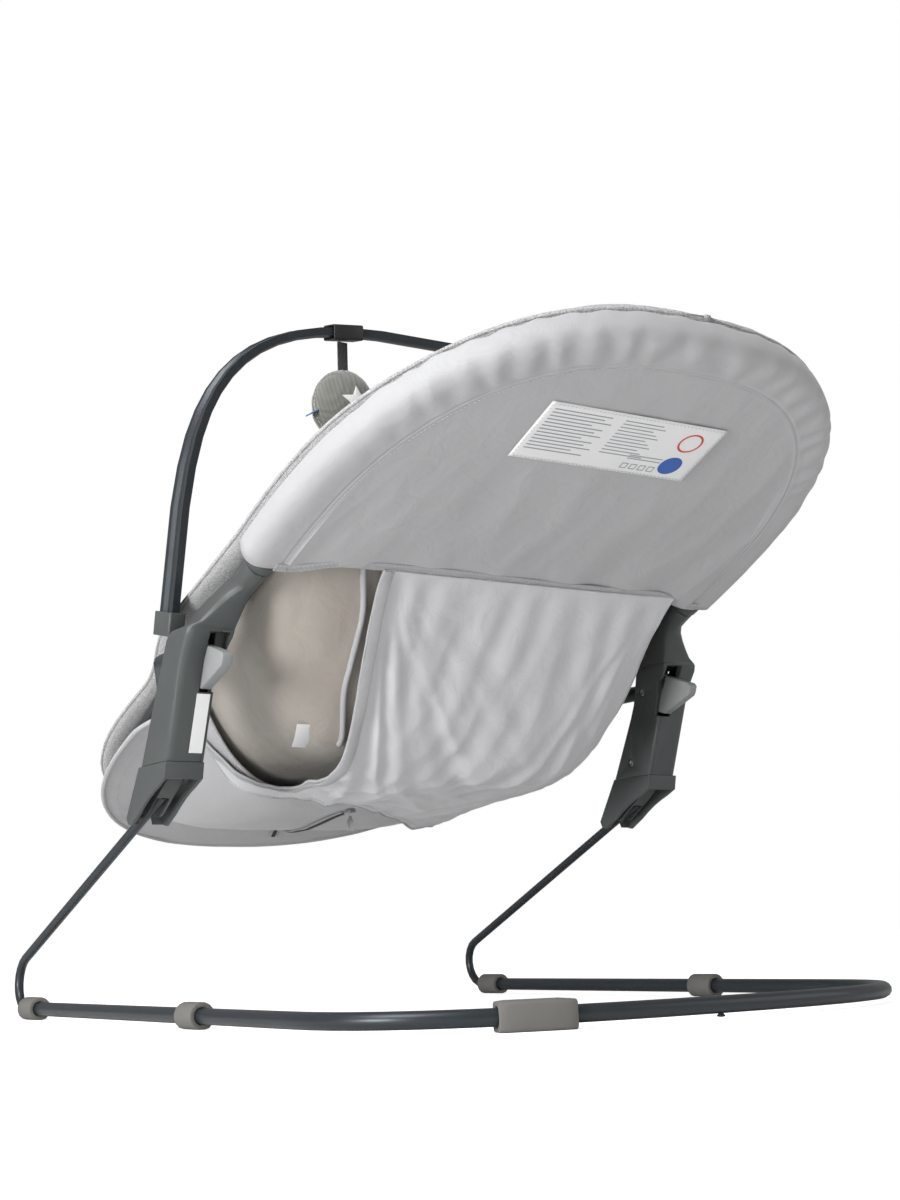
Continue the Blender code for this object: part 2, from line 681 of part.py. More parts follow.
def pivot_cap(name, side):
    """Lower cap of a housing: two cheeks with blind bosses for the pin, open below."""
    low, high = span_x(side, HOUSING_IN, HOUSING_OUT)
    cap = piece(f"pivot_cap_{name}", "dark_plastic", "seat", prism(cap_outline(), low, high))
    low, high = span_x(side, HOUSING_IN + WALL, HOUSING_OUT - WALL)
    hollow = cap_outline(inset=WALL, floor=-0.02)
    hollow[0] = (hollow[0][0], SEAM_Z + 0.01)
    hollow[1] = (hollow[1][0], SEAM_Z + 0.01)
    boolean(cap, "seat", prism(hollow, low, high))
    # slot in the front wall that the arm rests in at the upright stop
    slot_half = ARM_R + 0.0012
    low, high = span_x(side, arm_x(0.175) - slot_half, arm_x(0.160) + slot_half)
    rest = ARM_TOP - ARM_DIR * 0.060
    boolean(cap, "seat", box((low, -0.30, 0.10), (high, rest.y + 0.035, rest.z + 0.0083)))


def collar(name, side):
    neck = Vector((side * NECK_X, *NECK))
    start = neck - BACK_DIR * (0.005 - GAP)
    inner = FRAME_TUBE_R + GAP
    outer_rings = []
    for along, radius in ((0.0, COLLAR_R - 0.0008), (0.0015, COLLAR_R + 0.0006),
                          (COLLAR_LENGTH - 0.002, COLLAR_R + 0.0006), (COLLAR_LENGTH, COLLAR_R - 0.0015)):
        outer_rings.append((along, radius))
    profile = outer_rings + [(COLLAR_LENGTH, inner), (0.0, inner)]
    across = X_AXIS
    normal = BACK_DIR.cross(across)
    rings = [[start + BACK_DIR * along + across * a + normal * b for a, b in circle(radius, 16)]
             for along, radius in profile]
    piece(f"tube_collar_{name}", "dark_plastic", "seat", loft(rings, wrap=True))


# ---------------------------------------------------------------- triggers and latches
def trigger(name, side):
    body = f"trigger_{name}"
    outer = SLOT_SIDES[1] - 0.0006
    low, high = span_x(side, outer - TRIGGER_WIDTH, outer)
    inside, neck = -0.0185, -0.0050
    shelf = TRIGGER_TO - 0.0135
    outline = [rear_frame(TRIGGER_FROM, inside), rear_frame(TRIGGER_FROM, 0.0015),
               rear_frame(TRIGGER_TO - 0.011, TRIGGER_REACH - 0.0012),
               rear_frame(TRIGGER_TO - 0.008, TRIGGER_REACH),
               rear_frame(TRIGGER_TO - 0.002, TRIGGER_REACH), rear_frame(TRIGGER_TO, TRIGGER_REACH - 0.003),
               rear_frame(TRIGGER_TO, neck), rear_frame(shelf, neck - 0.0010), rear_frame(shelf, inside)]
    ob = piece(f"trigger_{name}", "trigger_plastic", body, prism(outline, low, high))
    bevel = ob.modifiers.new("Edges", "BEVEL")
    bevel.width = 0.0006
    bevel.segments = 1
    bevel.limit_method = "ANGLE"
    # latch bar from the carriage down to the sector's rim
    pivot_up = (PIVOT_POINT - REAR_FOOT).dot(REAR_UP)
    pivot_out = (PIVOT_POINT - REAR_FOOT).dot(REAR_OUT)
    tip = pivot_up + SECTOR_R + 0.0006
    bar_half = 0.0012
    bar_low, bar_high = span_x(side, SECTOR_X, SECTOR_X + SECTOR_WIDTH)
    tooth_half = NOTCH * 0.35
    tooth = 0.004
    top = TRIGGER_FROM - GAP
    sketch = ((tip, -tooth_half), (tip, tooth_half), (tip + tooth, bar_half), (top, bar_half),
              (top, -bar_half), (tip + tooth, -bar_half))
    bar = [rear_frame(up, pivot_out + out) for up, out in sketch]
    piece(f"latch_bar_{name}", "steel", body, prism(bar, bar_low, bar_high))
    # return spring above the carriage, inside the housing
    foot = REAR_FOOT + REAR_UP * (shelf + GAP) + REAR_OUT * (-0.0115) + X_AXIS * (side * (outer - 0.0046))
    coil_r, wire_r, turns, height = 0.0026, 0.0004, 5, 0.0155
    path = []
    for i in range(turns * 8 + 1):
        a = 2 * math.pi * i / 8
        lift = wire_r + (height - 2 * wire_r) * i / (turns * 8)
        round_x = X_AXIS * (coil_r * math.cos(a))
        round_y = REAR_OUT * (coil_r * math.sin(a))
        path.append(foot + round_x + round_y + REAR_UP * lift)
    piece(f"trigger_spring_{name}", "steel", "seat", sweep(path, REAR_UP, circle(wire_r, 5)))


# ---------------------------------------------------------------- seat frame tubes
def seat_point(t, x, lift=0.0):
    """A point on the seat's frame plane: t from the neck, + to the head, - to the feet."""
    share = fraction(-0.04, 0.04, t)
    angle = LEG_ANGLE + (BACK_ANGLE - LEG_ANGLE) * share
    run = BACK_ANGLE if t > 0 else LEG_ANGLE
    y = NECK[0] + t * math.cos(run) - lift * math.sin(angle)
    z = NECK[1] + t * math.sin(run) + lift * math.cos(angle)
    return Vector((x, y, z))


def half_width(t, inset=0.0):
    """Half width of the soft outline at t, less an inset all round."""
    if t > BACK_BULGE:
        share = (t - BACK_BULGE) / (BACK_LENGTH - BACK_BULGE - inset)
        return (BACK_HALF - inset) * max(1 - share ** BACK_POWER, 0.0) ** (1 / BACK_POWER)
    leg = LEG_HALF - inset
    if t > -LEG_STRAIGHT:
        return BACK_HALF - inset + (LEG_HALF - BACK_HALF) * fraction(*[-v for v in NARROWING], -t)
    share = (-t - LEG_STRAIGHT) / (LEG_LENGTH - LEG_STRAIGHT - inset)
    return leg * max(1 - share ** LEG_POWER, 0.0) ** (1 / LEG_POWER)


def back_tube():
    """Loop of frame tube round the backrest, from one neck to the other."""
    half = BACK_HALF - BACK_INSET
    rise = BACK_LENGTH - BACK_BULGE - BACK_INSET
    neck = Vector((NECK_X, *NECK))
    near = [neck - BACK_DIR * 0.0175, neck + BACK_DIR * COLLAR_LENGTH]
    steps = 22
    loop = []
    for i in range(steps + 1):
        a = math.pi * i / steps
        c, s = math.cos(a), max(math.sin(a), 0.0)
        x = math.copysign(half * abs(c) ** (2 / BACK_POWER), c)
        loop.append(seat_point(BACK_BULGE + rise * s ** (2 / BACK_POWER), x))
    far = [Vector((-p.x, p.y, p.z)) for p in near[::-1]]
    piece("back_tube", "frame_paint", "seat", sweep(near + loop + far, BACK_OUT, circle(FRAME_TUBE_R, 10)))


def leg_entry(side):
    """The leg tube's end inside a housing and the point where it leaves the front wall."""
    z = HOUSING_TOP_Z - 0.0185
    inside = housing_y(HOUSING_FRONT, z) + 0.010
    x = side * (HOUSING_OUT - WALL - FRAME_TUBE_R - 0.0015)
    return Vector((x, inside, z)), Vector((x, inside - 0.030, z))


def leg_tube_bore(side):
    inside, outside = leg_entry(side)
    return rod(inside + Y_AXIS * 0.001, outside - Y_AXIS * 0.02, FRAME_TUBE_R + GAP)


def leg_tube():
    """Loop of frame tube under the legs, from housing to housing."""
    half = LEG_HALF - LEG_INSET
    reach = LEG_LENGTH - LEG_STRAIGHT - LEG_INSET
    near = list(leg_entry(1.0))
    near.append(seat_point(-0.215, half + 0.006))
    steps = 18
    loop = []
    for i in range(steps + 1):
        a = math.pi * i / steps
        c, s = math.cos(a), max(math.sin(a), 0.0)
        x = math.copysign(half * abs(c) ** (2 / LEG_POWER), c)
        loop.append(seat_point(-LEG_STRAIGHT - reach * s ** (2 / LEG_POWER), x))
    far = [Vector((-p.x, p.y, p.z)) for p in near[::-1]]
    piece("leg_tube", "frame_paint", "seat", sweep(near + loop + far, Z_AXIS, circle(FRAME_TUBE_R, 10)))


# ---------------------------------------------------------------- soft goods
def sag_at(y):
    """Depth of the seat pan below the frame plane on the middle line."""
    share = (SAG_FROM - y) / (SAG_FROM - SAG_TO)
    if share <= 0 or share >= 1:
        return 0.0
    return SAG * fraction(0.0, SAG_RISE, share) * (1 - share) ** SAG_FALL


def pan_point(t, x, lift):
    """A point of the sagging seat, `lift` above the frame plane before it sags."""
    point = seat_point(t, x, lift)
    edge = max(half_width(t) - PAN_EDGE, 0.006)
    if abs(x) < edge:
        point.z -= sag_at(seat_point(t, 0).y) * (1 - abs(x / edge) ** SAG_POWER)
    return point


def sheet_solid(stations, columns, place, low, high):
    """A closed sheet: columns(t) lists x across the sheet, place(t, x, lift) gives each point."""
    rings = []
    for t in stations:
        across = columns(t)
        upper = [place(t, x, high) for x in across]
        lower = [place(t, x, low) for x in across[::-1]]
        rings.append(upper + lower)
    points, faces = loft(rings)
    faces = faces[:-2]
    count = len(rings[0])
    for start in (0, len(points) - count):
        for j in range(count // 2 - 1):
            faces.append((start + j, start + j + 1, start + count - 2 - j, start + count - 1 - j))
    return points, faces


def spread(start, end, steps):
    return [start + (end - start) * i / steps for i in range(steps + 1)]


def rounded_end(centre, length, steps, power, least=0.2):
    """Stations that crowd towards a rounded end, where the outline is `least` wide."""
    last = (1 - least ** power) ** (1 / power)
    return [centre + length * last * math.sin(math.pi / 2 * i / steps) for i in range(1, steps + 1)]


def head_stations(inset, steps=6):
    return rounded_end(BACK_BULGE, BACK_LENGTH - BACK_BULGE - inset, steps, BACK_POWER)


def foot_stations(inset, steps=7):
    return rounded_end(-LEG_STRAIGHT, -(LEG_LENGTH - LEG_STRAIGHT - inset), steps, LEG_POWER)


def seat_stations():
    """Stations from feet to head that the pad, sling and straps share, so that they nest."""
    middle = spread(-LEG_STRAIGHT, BACK_BULGE, 15)
    return foot_stations(PAD_INSET)[::-1] + middle + head_stations(PAD_INSET)


def pan_columns(t):
    """Columns across the sagging part, which the pad, sling and straps share."""
    edge = max(half_width(t) - PAN_EDGE, 0.006)
    shares = (0.18, 0.42, 0.66, 0.84, 0.94, 1.0)
    return [-edge * share for share in shares[::-1]] + [edge * share for share in shares]


def full_columns(t, inset):
    """The same columns with the rim outside them, out to an inset from the outline."""
    half = half_width(t, inset)
    inner = pan_columns(t)
    rim = (half + inner[-1]) / 2
    return [-half, -rim] + inner + [rim, half]


def seat_pad():
    """Padded front of the seat, one piece from head to feet, with a rounded edge."""
    middle = PAD_LIFT + PAD_THICK * 0.4

    def place(t, x, lift):
        edge = half_width(t, PAD_INSET) - abs(x)
        ends = min(BACK_LENGTH - t, LEG_LENGTH + t)
        share = min(min(edge, ends) / PAD_ROUND, 1.0)
        swell = 0.35 + 0.65 * max(1 - (1 - share) ** 2, 0.0) ** 0.5
        return pan_point(t, x, middle + (lift - middle) * swell)

    piece("seat_pad", "melange_knit", "seat",
          sheet_solid(seat_stations(), lambda t: full_columns(t, PAD_INSET), place,
                      PAD_LIFT, PAD_LIFT + PAD_THICK))


def seat_sling():
    """Satin-lined sling under the pad, inside the frame tubes."""
    stations = [t for t in seat_stations() if SLING[0] < t < SLING[1]]
    top = PAD_LIFT - SLING_GAP
    piece("seat_sling", "taupe_satin", "seat",
          sheet_solid(stations, pan_columns, pan_point, top - SLING_THICK, top))


def cover_loop(inset, lift, bottom):
    """Closed outline of the cover at one level, with a straight bottom seam."""
    half = BACK_HALF - inset
    rise = BACK_LENGTH - BACK_BULGE - inset
    steps = 22
    loop = []
    for i in range(steps + 1):
        a = math.pi * i / steps
        c, s = math.cos(a), max(math.sin(a), 0.0)
        x = math.copysign(half * abs(c) ** (2 / BACK_POWER), c)
        loop.append(seat_point(max(BACK_BULGE + rise * s ** (2 / BACK_POWER), bottom), x, lift))
    return loop


def back_cover():
    """Rear cover of the backrest: a taut sheet whose side wall wraps the frame tube."""
    floor = -COVER_DROP - SHEET
    outer = [cover_loop(0.0075, floor, COVER_FROM), cover_loop(0.0025, floor + 0.0022, COVER_FROM),
             cover_loop(0.0, floor + 0.0080, COVER_FROM), cover_loop(0.0, COVER_EDGE, COVER_FROM)]
    cover = piece("back_cover", "grey_polyester", "seat", loft(outer))
    deep = COVER_FROM - 0.03
    inner = [cover_loop(0.0085, -COVER_DROP, deep), cover_loop(0.0030, -COVER_DROP + 0.0060, deep),
             cover_loop(0.0030, COVER_EDGE + 0.01, deep)]
    boolean(cover, "seat", loft(inner))


def foot_pocket():
    """Pocket under the foot end, below the leg tube, drawn in where the tube leaves it."""
    stations = foot_stations(0.0)[::-1] + spread(-LEG_STRAIGHT, POCKET_END, 4)

    def columns(t):
        drawn_in = POCKET_DRAWN * fraction(LEG_STRAIGHT, -POCKET_END, -t)
        return [x * (1 - drawn_in) for x in full_columns(t, 0.0)]

    piece("foot_pocket", "grey_polyester", "seat",
          sheet_solid(stations, columns, pan_point, -COVER_DROP - SHEET, -COVER_DROP))


def rear_apron():
    """Loose apron from the cover's bottom seam, under the seat pan, to a free front hem."""
    top = COVER_FROM - GAP
    shares = spread(1.0, -1.0, 10)
    steps = 13

    def columns(t):
        down = (top - t) / (top - HEM_AT)
        near = APRON_TOP[0] + (APRON_HEM[0] - APRON_TOP[0]) * down ** 3
        far = APRON_TOP[1] + (APRON_HEM[1] - APRON_TOP[1]) * down
        return [(near + far) / 2 + (near - far) / 2 * share for share in shares]

    def place(t, x, lift):
        down = (top - t) / (top - HEM_AT)
        middle, half = (sum(APRON_HEM) / 2, (APRON_HEM[0] - APRON_HEM[1]) / 2)
        share = (x - middle) / half
        reach = HEM_FAR * fraction(-0.45, 0.80, -share) + HEM_CORNER * fraction(0.72, 1.0, share)
        at = t - reach * down
        return pan_point(at, x, lift - 0.0078 * fraction(0.02, 0.11, -at))

    drop = COVER_DROP + GAP
    piece("rear_apron", "grey_polyester", "seat",
          sheet_solid(spread(HEM_AT, top, steps), columns, place, -drop - SHEET, -drop))


def care_label():
    """Large blank label sewn on the rear cover."""
    outer = -COVER_DROP - SHEET - SOFT_GAP
    piece("care_label", "label_white", "seat",
          sheet_solid(spread(*LABEL_RISE, 3), lambda t: spread(*LABEL_SIDES, 6), seat_point,
                      outer - LABEL_THICK, outer))


def harness():
    """Crotch strap and two waist straps that lie on the pad."""
    base = PAD_LIFT + PAD_THICK + SOFT_GAP
    stations = seat_stations()
    crotch = [t for t in stations if CROTCH[0] < t < CROTCH[1]]
    piece("crotch_strap", "webbing", "seat",
          sheet_solid(crotch, lambda t: spread(-WEB_WIDTH / 2, WEB_WIDTH / 2, 2), pan_point,
                      base, base + WEB))
    first = min(range(len(stations)), key=lambda i: abs(stations[i] - WAIST))
    waist = stations[first:first + 2]
    for name, side in SIDES_OF_SEAT:

        def columns(t, side=side):
            return [side * x for x in pan_columns(t)[6:]]

        piece(f"waist_strap_{name}", "webbing", "seat",
              sheet_solid(waist, columns, pan_point, base, base + WEB))


def buckle():
    """Buckle body with a press button, in the middle of the straps."""
    centre = pan_point(BUCKLE_AT, 0.0, PAD_LIFT + PAD_THICK)
    slope = (pan_point(BUCKLE_AT + 0.02, 0.0, 0) - pan_point(BUCKLE_AT - 0.02, 0.0, 0)).normalized()
    lift = X_AXIS.cross(slope).normalized()
    foot = centre + lift * BUCKLE_LIFT
    thick, half_x, half_y = BUCKLE_SIZE

    def ring(height, inset):
        outline = rounded_rectangle(2 * (half_x - inset), 2 * (half_y - inset), 0.009)
        return [foot + lift * height + X_AXIS * a + slope * b for a, b in outline]

    rings = [ring(0.0, 0.001), ring(0.002, 0.0), ring(thick - 0.003, 0.0), ring(thick, 0.003)]
    body = piece("buckle_body", "black_plastic", "seat", loft(rings))
    boolean(body, "seat", rod(foot + lift * 0.004, foot + lift * (thick + 0.01), BUTTON_R + 2 * GAP, 20))
    top = foot + lift * 0.0072
    AXES["buckle_button"][0].location = top - AXES["seat"][1]
    AXES["buckle_button"] = (AXES["buckle_button"][0], top)
    profile = ((0.0, BUTTON_R), (0.0042, BUTTON_R), (0.005, BUTTON_R - 0.001))
    piece("buckle_button", "trigger_plastic", "buckle_button", turned(top, lift, profile, 20))


# ---------------------------------------------------------------- toy bar and toys
def bar_point(x, rise):
    return BAR_BASE + BAR_UP * rise + X_AXIS * x


def bar_arch(turn):
    """Centre line of the arch at an even turn from 0 to pi."""
    c, s = math.cos(turn), max(math.sin(turn), 0.0)
    x = math.copysign(BAR_HALF * abs(c) ** (2 / BAR_POWER), c)
    return bar_point(x, BAR_RISE * s ** (2 / BAR_POWER))


def bar_section(depth, thick):
    """Channel section: a flat bar with a groove along its inner side."""
    d, t, g = depth / 2, thick / 2, thick * 0.35
    return [(-d, -t), (-d * 0.45, -t), (-d * 0.35, -t + g), (d * 0.35, -t + g), (d * 0.45, -t),
            (d, -t), (d, t * 0.55), (d * 0.55, t), (-d * 0.55, t), (-d, t * 0.55)]


def toy_bar():
    steps = 28
    path = [bar_point(BAR_HALF, -BAR_PLUG)]
    path += [bar_arch(math.pi * i / steps) for i in range(steps + 1)]
    path += [bar_point(-BAR_HALF, -BAR_PLUG)]

    def section(i):
        share = 0.0 if i in (0, len(path) - 1) else math.sin(math.pi * (i - 1) / steps) ** 1.5
        return bar_section(BAR_DEPTH_LOW + (BAR_DEPTH_TOP - BAR_DEPTH_LOW) * share, BAR_THICK)

    piece("toy_bar", "dark_plastic", "toy_bar", sweep(path, BAR_FORE, section))
    for name, side in SIDES_OF_SEAT:
        bar_socket(name, side)


def bar_socket(name, side):
    """Rectangular sleeve for a bar leg, carried on the leg tube's end stretch."""
    clear = 0.0006
    outer_x = BAR_THICK + 2 * (clear + SOCKET_WALL)
    outer_y = BAR_DEPTH_LOW + 2 * (clear + SOCKET_WALL)
    low = -BAR_PLUG - 0.006
    high = -0.011

    def ring(rise, width, depth, radius):
        section = rounded_rectangle(width, depth, radius)
        return [bar_point(side * BAR_HALF, rise) + X_AXIS * a + BAR_FORE * b for a, b in section]

    outer = [ring(low, outer_x, outer_y, 0.002), ring(high, outer_x, outer_y, 0.002)]
    bore_x, bore_y = BAR_THICK + 2 * clear, BAR_DEPTH_LOW + 2 * clear
    bore = [ring(high, bore_x, bore_y, 0.0006), ring(low + 0.003, bore_x, bore_y, 0.0006)]
    piece(f"bar_socket_{name}", "dark_plastic", "seat", loft(outer + bore))


def toys():
    for name, side in SIDES_OF_SEAT:
        toy(name, side)


def toy(name, side):
    """Clip on the bar, webbing strap and a soft hanging figure."""
    turn = toy_turn()
    path = [bar_arch(turn + step) for step in (-CLIP_TURN, CLIP_TURN)]
    path = [Vector((side * p.x, p.y, p.z)) for p in path]
    half_depth = BAR_DEPTH_TOP / 2 + CLIP_PLAY + 0.0007
    half_thick = BAR_THICK / 2 + CLIP_PLAY
    inner = rounded_rectangle(2 * half_depth, 2 * half_thick, 0.0008)
    outer = rounded_rectangle(2 * (half_depth + CLIP_WALL), 2 * (half_thick + CLIP_WALL), 0.002)
    walls = sweep_rings(path, BAR_FORE, outer)
    bore = sweep_rings(path, BAR_FORE, inner)
    piece(f"toy_clip_{name}", "black_plastic", "toy_bar", loft(walls + bore[::-1], wrap=True))

    body = f"toy_{name}"
    hinge = AXES[body][1]
    strap_top = hinge - Z_AXIS * 0.001
    length = STRAP_LENGTH
    half_w, half_t = 0.0045, 0.001
    low = strap_top - Z_AXIS * length
    section = rounded_rectangle(2 * half_w, 2 * half_t, 0.0006)
    strap = [[end + X_AXIS * a + Y_AXIS * b for a, b in section] for end in (low, strap_top)]
    piece(f"toy_strap_{name}", "webbing", body, loft(strap))
    top = low - Z_AXIS * GAP
    profile = []
    steps = 8
    for i in range(steps + 1):
        t = i / steps
        bulge = math.sin(math.pi * min(t ** 0.8 * 0.98 + 0.01, 0.99)) ** 0.75
        profile.append((TOY_HEIGHT * t, max(TOY_HALF_WIDTH * bulge, 0.003)))
    piece(f"toy_{name}", "plush", body, turned(top, -Z_AXIS, profile, 14))


def toy_turn():
    """Turn of the arch at which the toys hang."""
    low, high = 0.0, math.pi / 2
    for _ in range(40):
        middle = (low + high) / 2
        if bar_arch(middle).x > TOY_X:
            low = middle
        else:
            high = middle
    return low


def bar_hinge_point(side):
    """Underside of a toy's clip, where its strap swings."""
    centre = bar_arch(toy_turn())
    centre.x *= side
    return centre - BAR_UP * (BAR_THICK / 2 + CLIP_PLAY + CLIP_WALL + 0.0012)


# ---------------------------------------------------------------- zip
def zipper():
    """Zip slider under the foot pocket and its hanging pull."""
    x, at = ZIP_AT
    place = pan_point(at, x, -COVER_DROP - SHEET)
    slope = (pan_point(at + 0.02, x, 0) - pan_point(at - 0.02, x, 0)).normalized()
    down = -X_AXIS.cross(slope).normalized()
    start = place + down * SOFT_GAP
    outline = rounded_rectangle(0.0075, 0.011, 0.002)
    rings = []
    for drop, scale in ((0.0, 1.0), (0.0022, 1.0), (0.003, 0.7)):
        rings.append([start + down * drop + X_AXIS * (a * scale) + slope * (b * scale) for a, b in outline])
    piece("zip_slider", "steel", "seat", loft(rings))
    hinge = start + down * 0.0040
    AXES["zip_pull"][0].location = hinge - AXES["seat"][1]
    AXES["zip_pull"] = (AXES["zip_pull"][0], hinge)
    tab = rounded_rectangle(0.006, 0.0012, 0.0004)
    neck = rounded_rectangle(0.003, 0.0012, 0.0004)
    rings = [[hinge - Z_AXIS * drop + X_AXIS * a + Y_AXIS * b for a, b in section]
             for drop, section in ((0.0006, neck), (0.003, neck), (0.005, tab), (0.014, tab))]
    piece("zip_pull", "steel", "zip_pull", loft(rings))


# ---------------------------------------------------------------- assembly
def stand_at_origin(root):
    """Moves the whole seat along Y so that the origin is below the middle of its outline."""
    bpy.context.view_layer.update()
    ys = []
    for ob in bpy.data.objects:
        if ob.type == "MESH" and not ob.hide_render:
            ys += [(ob.matrix_world @ v.co).y for v in ob.data.vertices]
    root.location.y = -(min(ys) + max(ys)) / 2


def main():
    clear_scene()
    axis_empty("base", None, (0, 0, 0))
    axis_empty("arms", "base", BOUNCE_POINT)
    axis_empty("seat", "arms", PIVOT_POINT)
    axis_empty("toy_bar", "seat", BAR_BASE)
    axis_empty("buckle_button", "seat", PIVOT_POINT)
    axis_empty("zip_pull", "seat", PIVOT_POINT)
    for name, side in SIDES_OF_SEAT:
        axis_empty(f"trigger_{name}", "seat", REAR_FOOT + X_AXIS * (side * HOUSING_MID))
        axis_empty(f"toy_{name}", "toy_bar", bar_hinge_point(side))
    floor_tube()
    feet()
    rear_pad()
    arms()
    for name, side in SIDES_OF_SEAT:
        housing(name, side)
        pivot_cap(name, side)
        collar(name, side)
        trigger(name, side)
    rating_label()
    back_tube()
    leg_tube()
    seat_pad()
    seat_sling()
    back_cover()
    foot_pocket()
    rear_apron()
    care_label()
    harness()
    buckle()
    toy_bar()
    toys()
    zipper()
    stand_at_origin(AXES["base"][0])


main()
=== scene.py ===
"""Looks of a baby bouncer seat, built around its fixed frame of tubes, arms and housings."""

import json
import math

import bmesh
import bpy
from mathutils import Matrix, Vector, noise


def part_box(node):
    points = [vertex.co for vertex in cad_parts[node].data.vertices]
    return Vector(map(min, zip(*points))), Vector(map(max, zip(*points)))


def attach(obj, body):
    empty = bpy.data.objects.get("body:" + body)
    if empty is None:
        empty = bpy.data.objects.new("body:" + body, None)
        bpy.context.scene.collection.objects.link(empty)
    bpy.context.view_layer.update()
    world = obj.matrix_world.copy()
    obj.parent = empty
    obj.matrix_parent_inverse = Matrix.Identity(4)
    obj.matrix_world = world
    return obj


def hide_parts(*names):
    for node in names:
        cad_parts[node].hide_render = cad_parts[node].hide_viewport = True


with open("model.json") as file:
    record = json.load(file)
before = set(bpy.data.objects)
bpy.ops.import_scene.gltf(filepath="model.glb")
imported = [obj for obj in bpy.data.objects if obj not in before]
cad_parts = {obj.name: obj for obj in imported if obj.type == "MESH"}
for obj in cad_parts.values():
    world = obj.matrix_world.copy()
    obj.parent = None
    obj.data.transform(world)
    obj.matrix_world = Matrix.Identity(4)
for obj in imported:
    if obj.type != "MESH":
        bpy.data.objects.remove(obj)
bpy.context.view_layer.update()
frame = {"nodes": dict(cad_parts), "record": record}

bl_info = {
    "name": "Baby bouncer seat",
    "version": (1, 0, 0),
    "blender": (4, 5, 0),
    "location": "3D View > Sidebar > Bouncer",
    "description": "Builds the cloth, padding, trim and finishes of a baby bouncer seat",
    "category": "Object",
}

# ---------------------------------------------------------------- places taken from the frame
FOOT_FRONT = 0.490               # front of the front feet, ahead of the drawing's datum
DATUM_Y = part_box("front_foot_left")[0].y + FOOT_FRONT
NECK = (-0.100, 0.343)
BACK_ANGLE = math.radians(24.0)
LEG_ANGLE = math.radians(20.0)
BACK_HALF = 0.232
BACK_BULGE = 0.020
BACK_LENGTH = 0.310
BACK_POWER = 2.5
LEG_HALF = 0.2075
NARROWING = (0.130, 0.240)
LEG_STRAIGHT = 0.270
LEG_LENGTH = 0.508
LEG_POWER = 2.35
PAN_EDGE = 0.036
LEAST_PAN = 0.006
SAG = 0.130
SAG_FROM = -0.070
SAG_TO = -0.510
SAG_POWER = 5
SAG_RISE = 0.26
SAG_FALL = 0.60
PAD_LIFT = 0.0135
PAD_THICK = 0.015
SLING = (-0.385, 0.024)
SLING_TOP = 0.0101
SEAM_X = 0.1165                  # the piped seam beside the apron
SEAM_SPREAD = 0.013
SEAM_END = -0.080
TAG = (0.137, -0.076)            # x and t of the sewn end of the sling's tag
TAG_LENGTH = 0.030
TAG_WIDTH = 0.014
COVER_HEM = 0.0200               # the cover's bottom hem, from the neck
COVER_OUTSIDE = -0.0118
APRON_SEAM = COVER_HEM + 0.003
POCKET_OUTSIDE = -0.0116
POCKET_END = -0.185
POCKET_DRAWN = 0.16
APRON_TOP = (0.118, -0.174)
APRON_HEM = (0.144, -0.150)
HEM_AT = -0.172
HEM_FAR = 0.118
HEM_CORNER = 0.050
APRON_FLARE = 0.022              # the near lower corner spreads on to the pocket's rim
LABEL_RISE = (0.1690, 0.2310)
LABEL_SIDES = (-0.070, 0.094)
ZIP_LINE = ((-0.030, -0.480), (-0.008, -0.400), (0.008, -0.320), (0.020, -0.226))
WEB_HALF = 0.011
SIDES = (("left", 1.0), ("right", -1.0))


# ---------------------------------------------------------------- settings a user may change
class BouncerSizes(bpy.types.PropertyGroup):
    """Sizes of the sewing and of the folds in the cloth"""

    stitch_pitch: bpy.props.FloatProperty(
        name="Stitch pitch", description="Distance from one stitch to the next",
        default=0.0036, min=0.002, max=0.01, unit="LENGTH")
    stitch_length: bpy.props.FloatProperty(
        name="Stitch length", description="Visible length of one stitch",
        default=0.0025, min=0.001, max=0.008, unit="LENGTH")
    thread_radius: bpy.props.FloatProperty(
        name="Thread radius", description="Radius of the sewing thread",
        default=0.00026, min=0.0001, max=0.001, unit="LENGTH")
    binding_width: bpy.props.FloatProperty(
        name="Binding width", description="Width of the tape that binds a hem",
        default=0.009, min=0.004, max=0.02, unit="LENGTH")
    gather_depth: bpy.props.FloatProperty(
        name="Gather depth", description="Depth of the gathers round the cover's rolled edge",
        default=0.0024, min=0.0, max=0.004, unit="LENGTH")
    apron_fold: bpy.props.FloatProperty(
        name="Apron fold", description="Depth of the loose folds in the apron",
        default=0.0060, min=0.0, max=0.01, unit="LENGTH")
    quilt_depth: bpy.props.FloatProperty(
        name="Quilt depth", description="Depth of the sewn channels in the pad",
        default=0.0035, min=0.0, max=0.008, unit="LENGTH")


def colour(name, description, default):
    return bpy.props.FloatVectorProperty(name=name, description=description, default=default,
                                         size=3, min=0.0, max=1.0, subtype="COLOR")


class BouncerColours(bpy.types.PropertyGroup):
    """Colours of the finishes"""

    paint: colour("Frame paint", "Powder coat on the steel tubes", (0.030, 0.036, 0.042))
    plastic: colour("Housing plastic", "Moulded plastic of the side housings", (0.062, 0.070, 0.069))
    trigger: colour("Trigger plastic", "Moulded plastic of the release triggers", (0.245, 0.255, 0.255))
    rubber: colour("Rubber", "Feet and anti-slip pad", (0.150, 0.146, 0.136))
    cover: colour("Cover cloth", "Smooth woven cloth of the cover, apron and pocket", (0.430, 0.430, 0.440))
    knit_light: colour("Melange light", "Light yarn of the pad's knit", (0.56, 0.56, 0.565))
    knit_dark: colour("Melange dark", "Dark yarn of the pad's knit", (0.245, 0.245, 0.25))
    satin: colour("Sling satin", "Quilted lining under the pad", (0.390, 0.355, 0.315))
    webbing: colour("Webbing", "Straps", (0.030, 0.030, 0.032))
    plush: colour("Plush", "Pile of the hanging toys", (0.165, 0.165, 0.148))


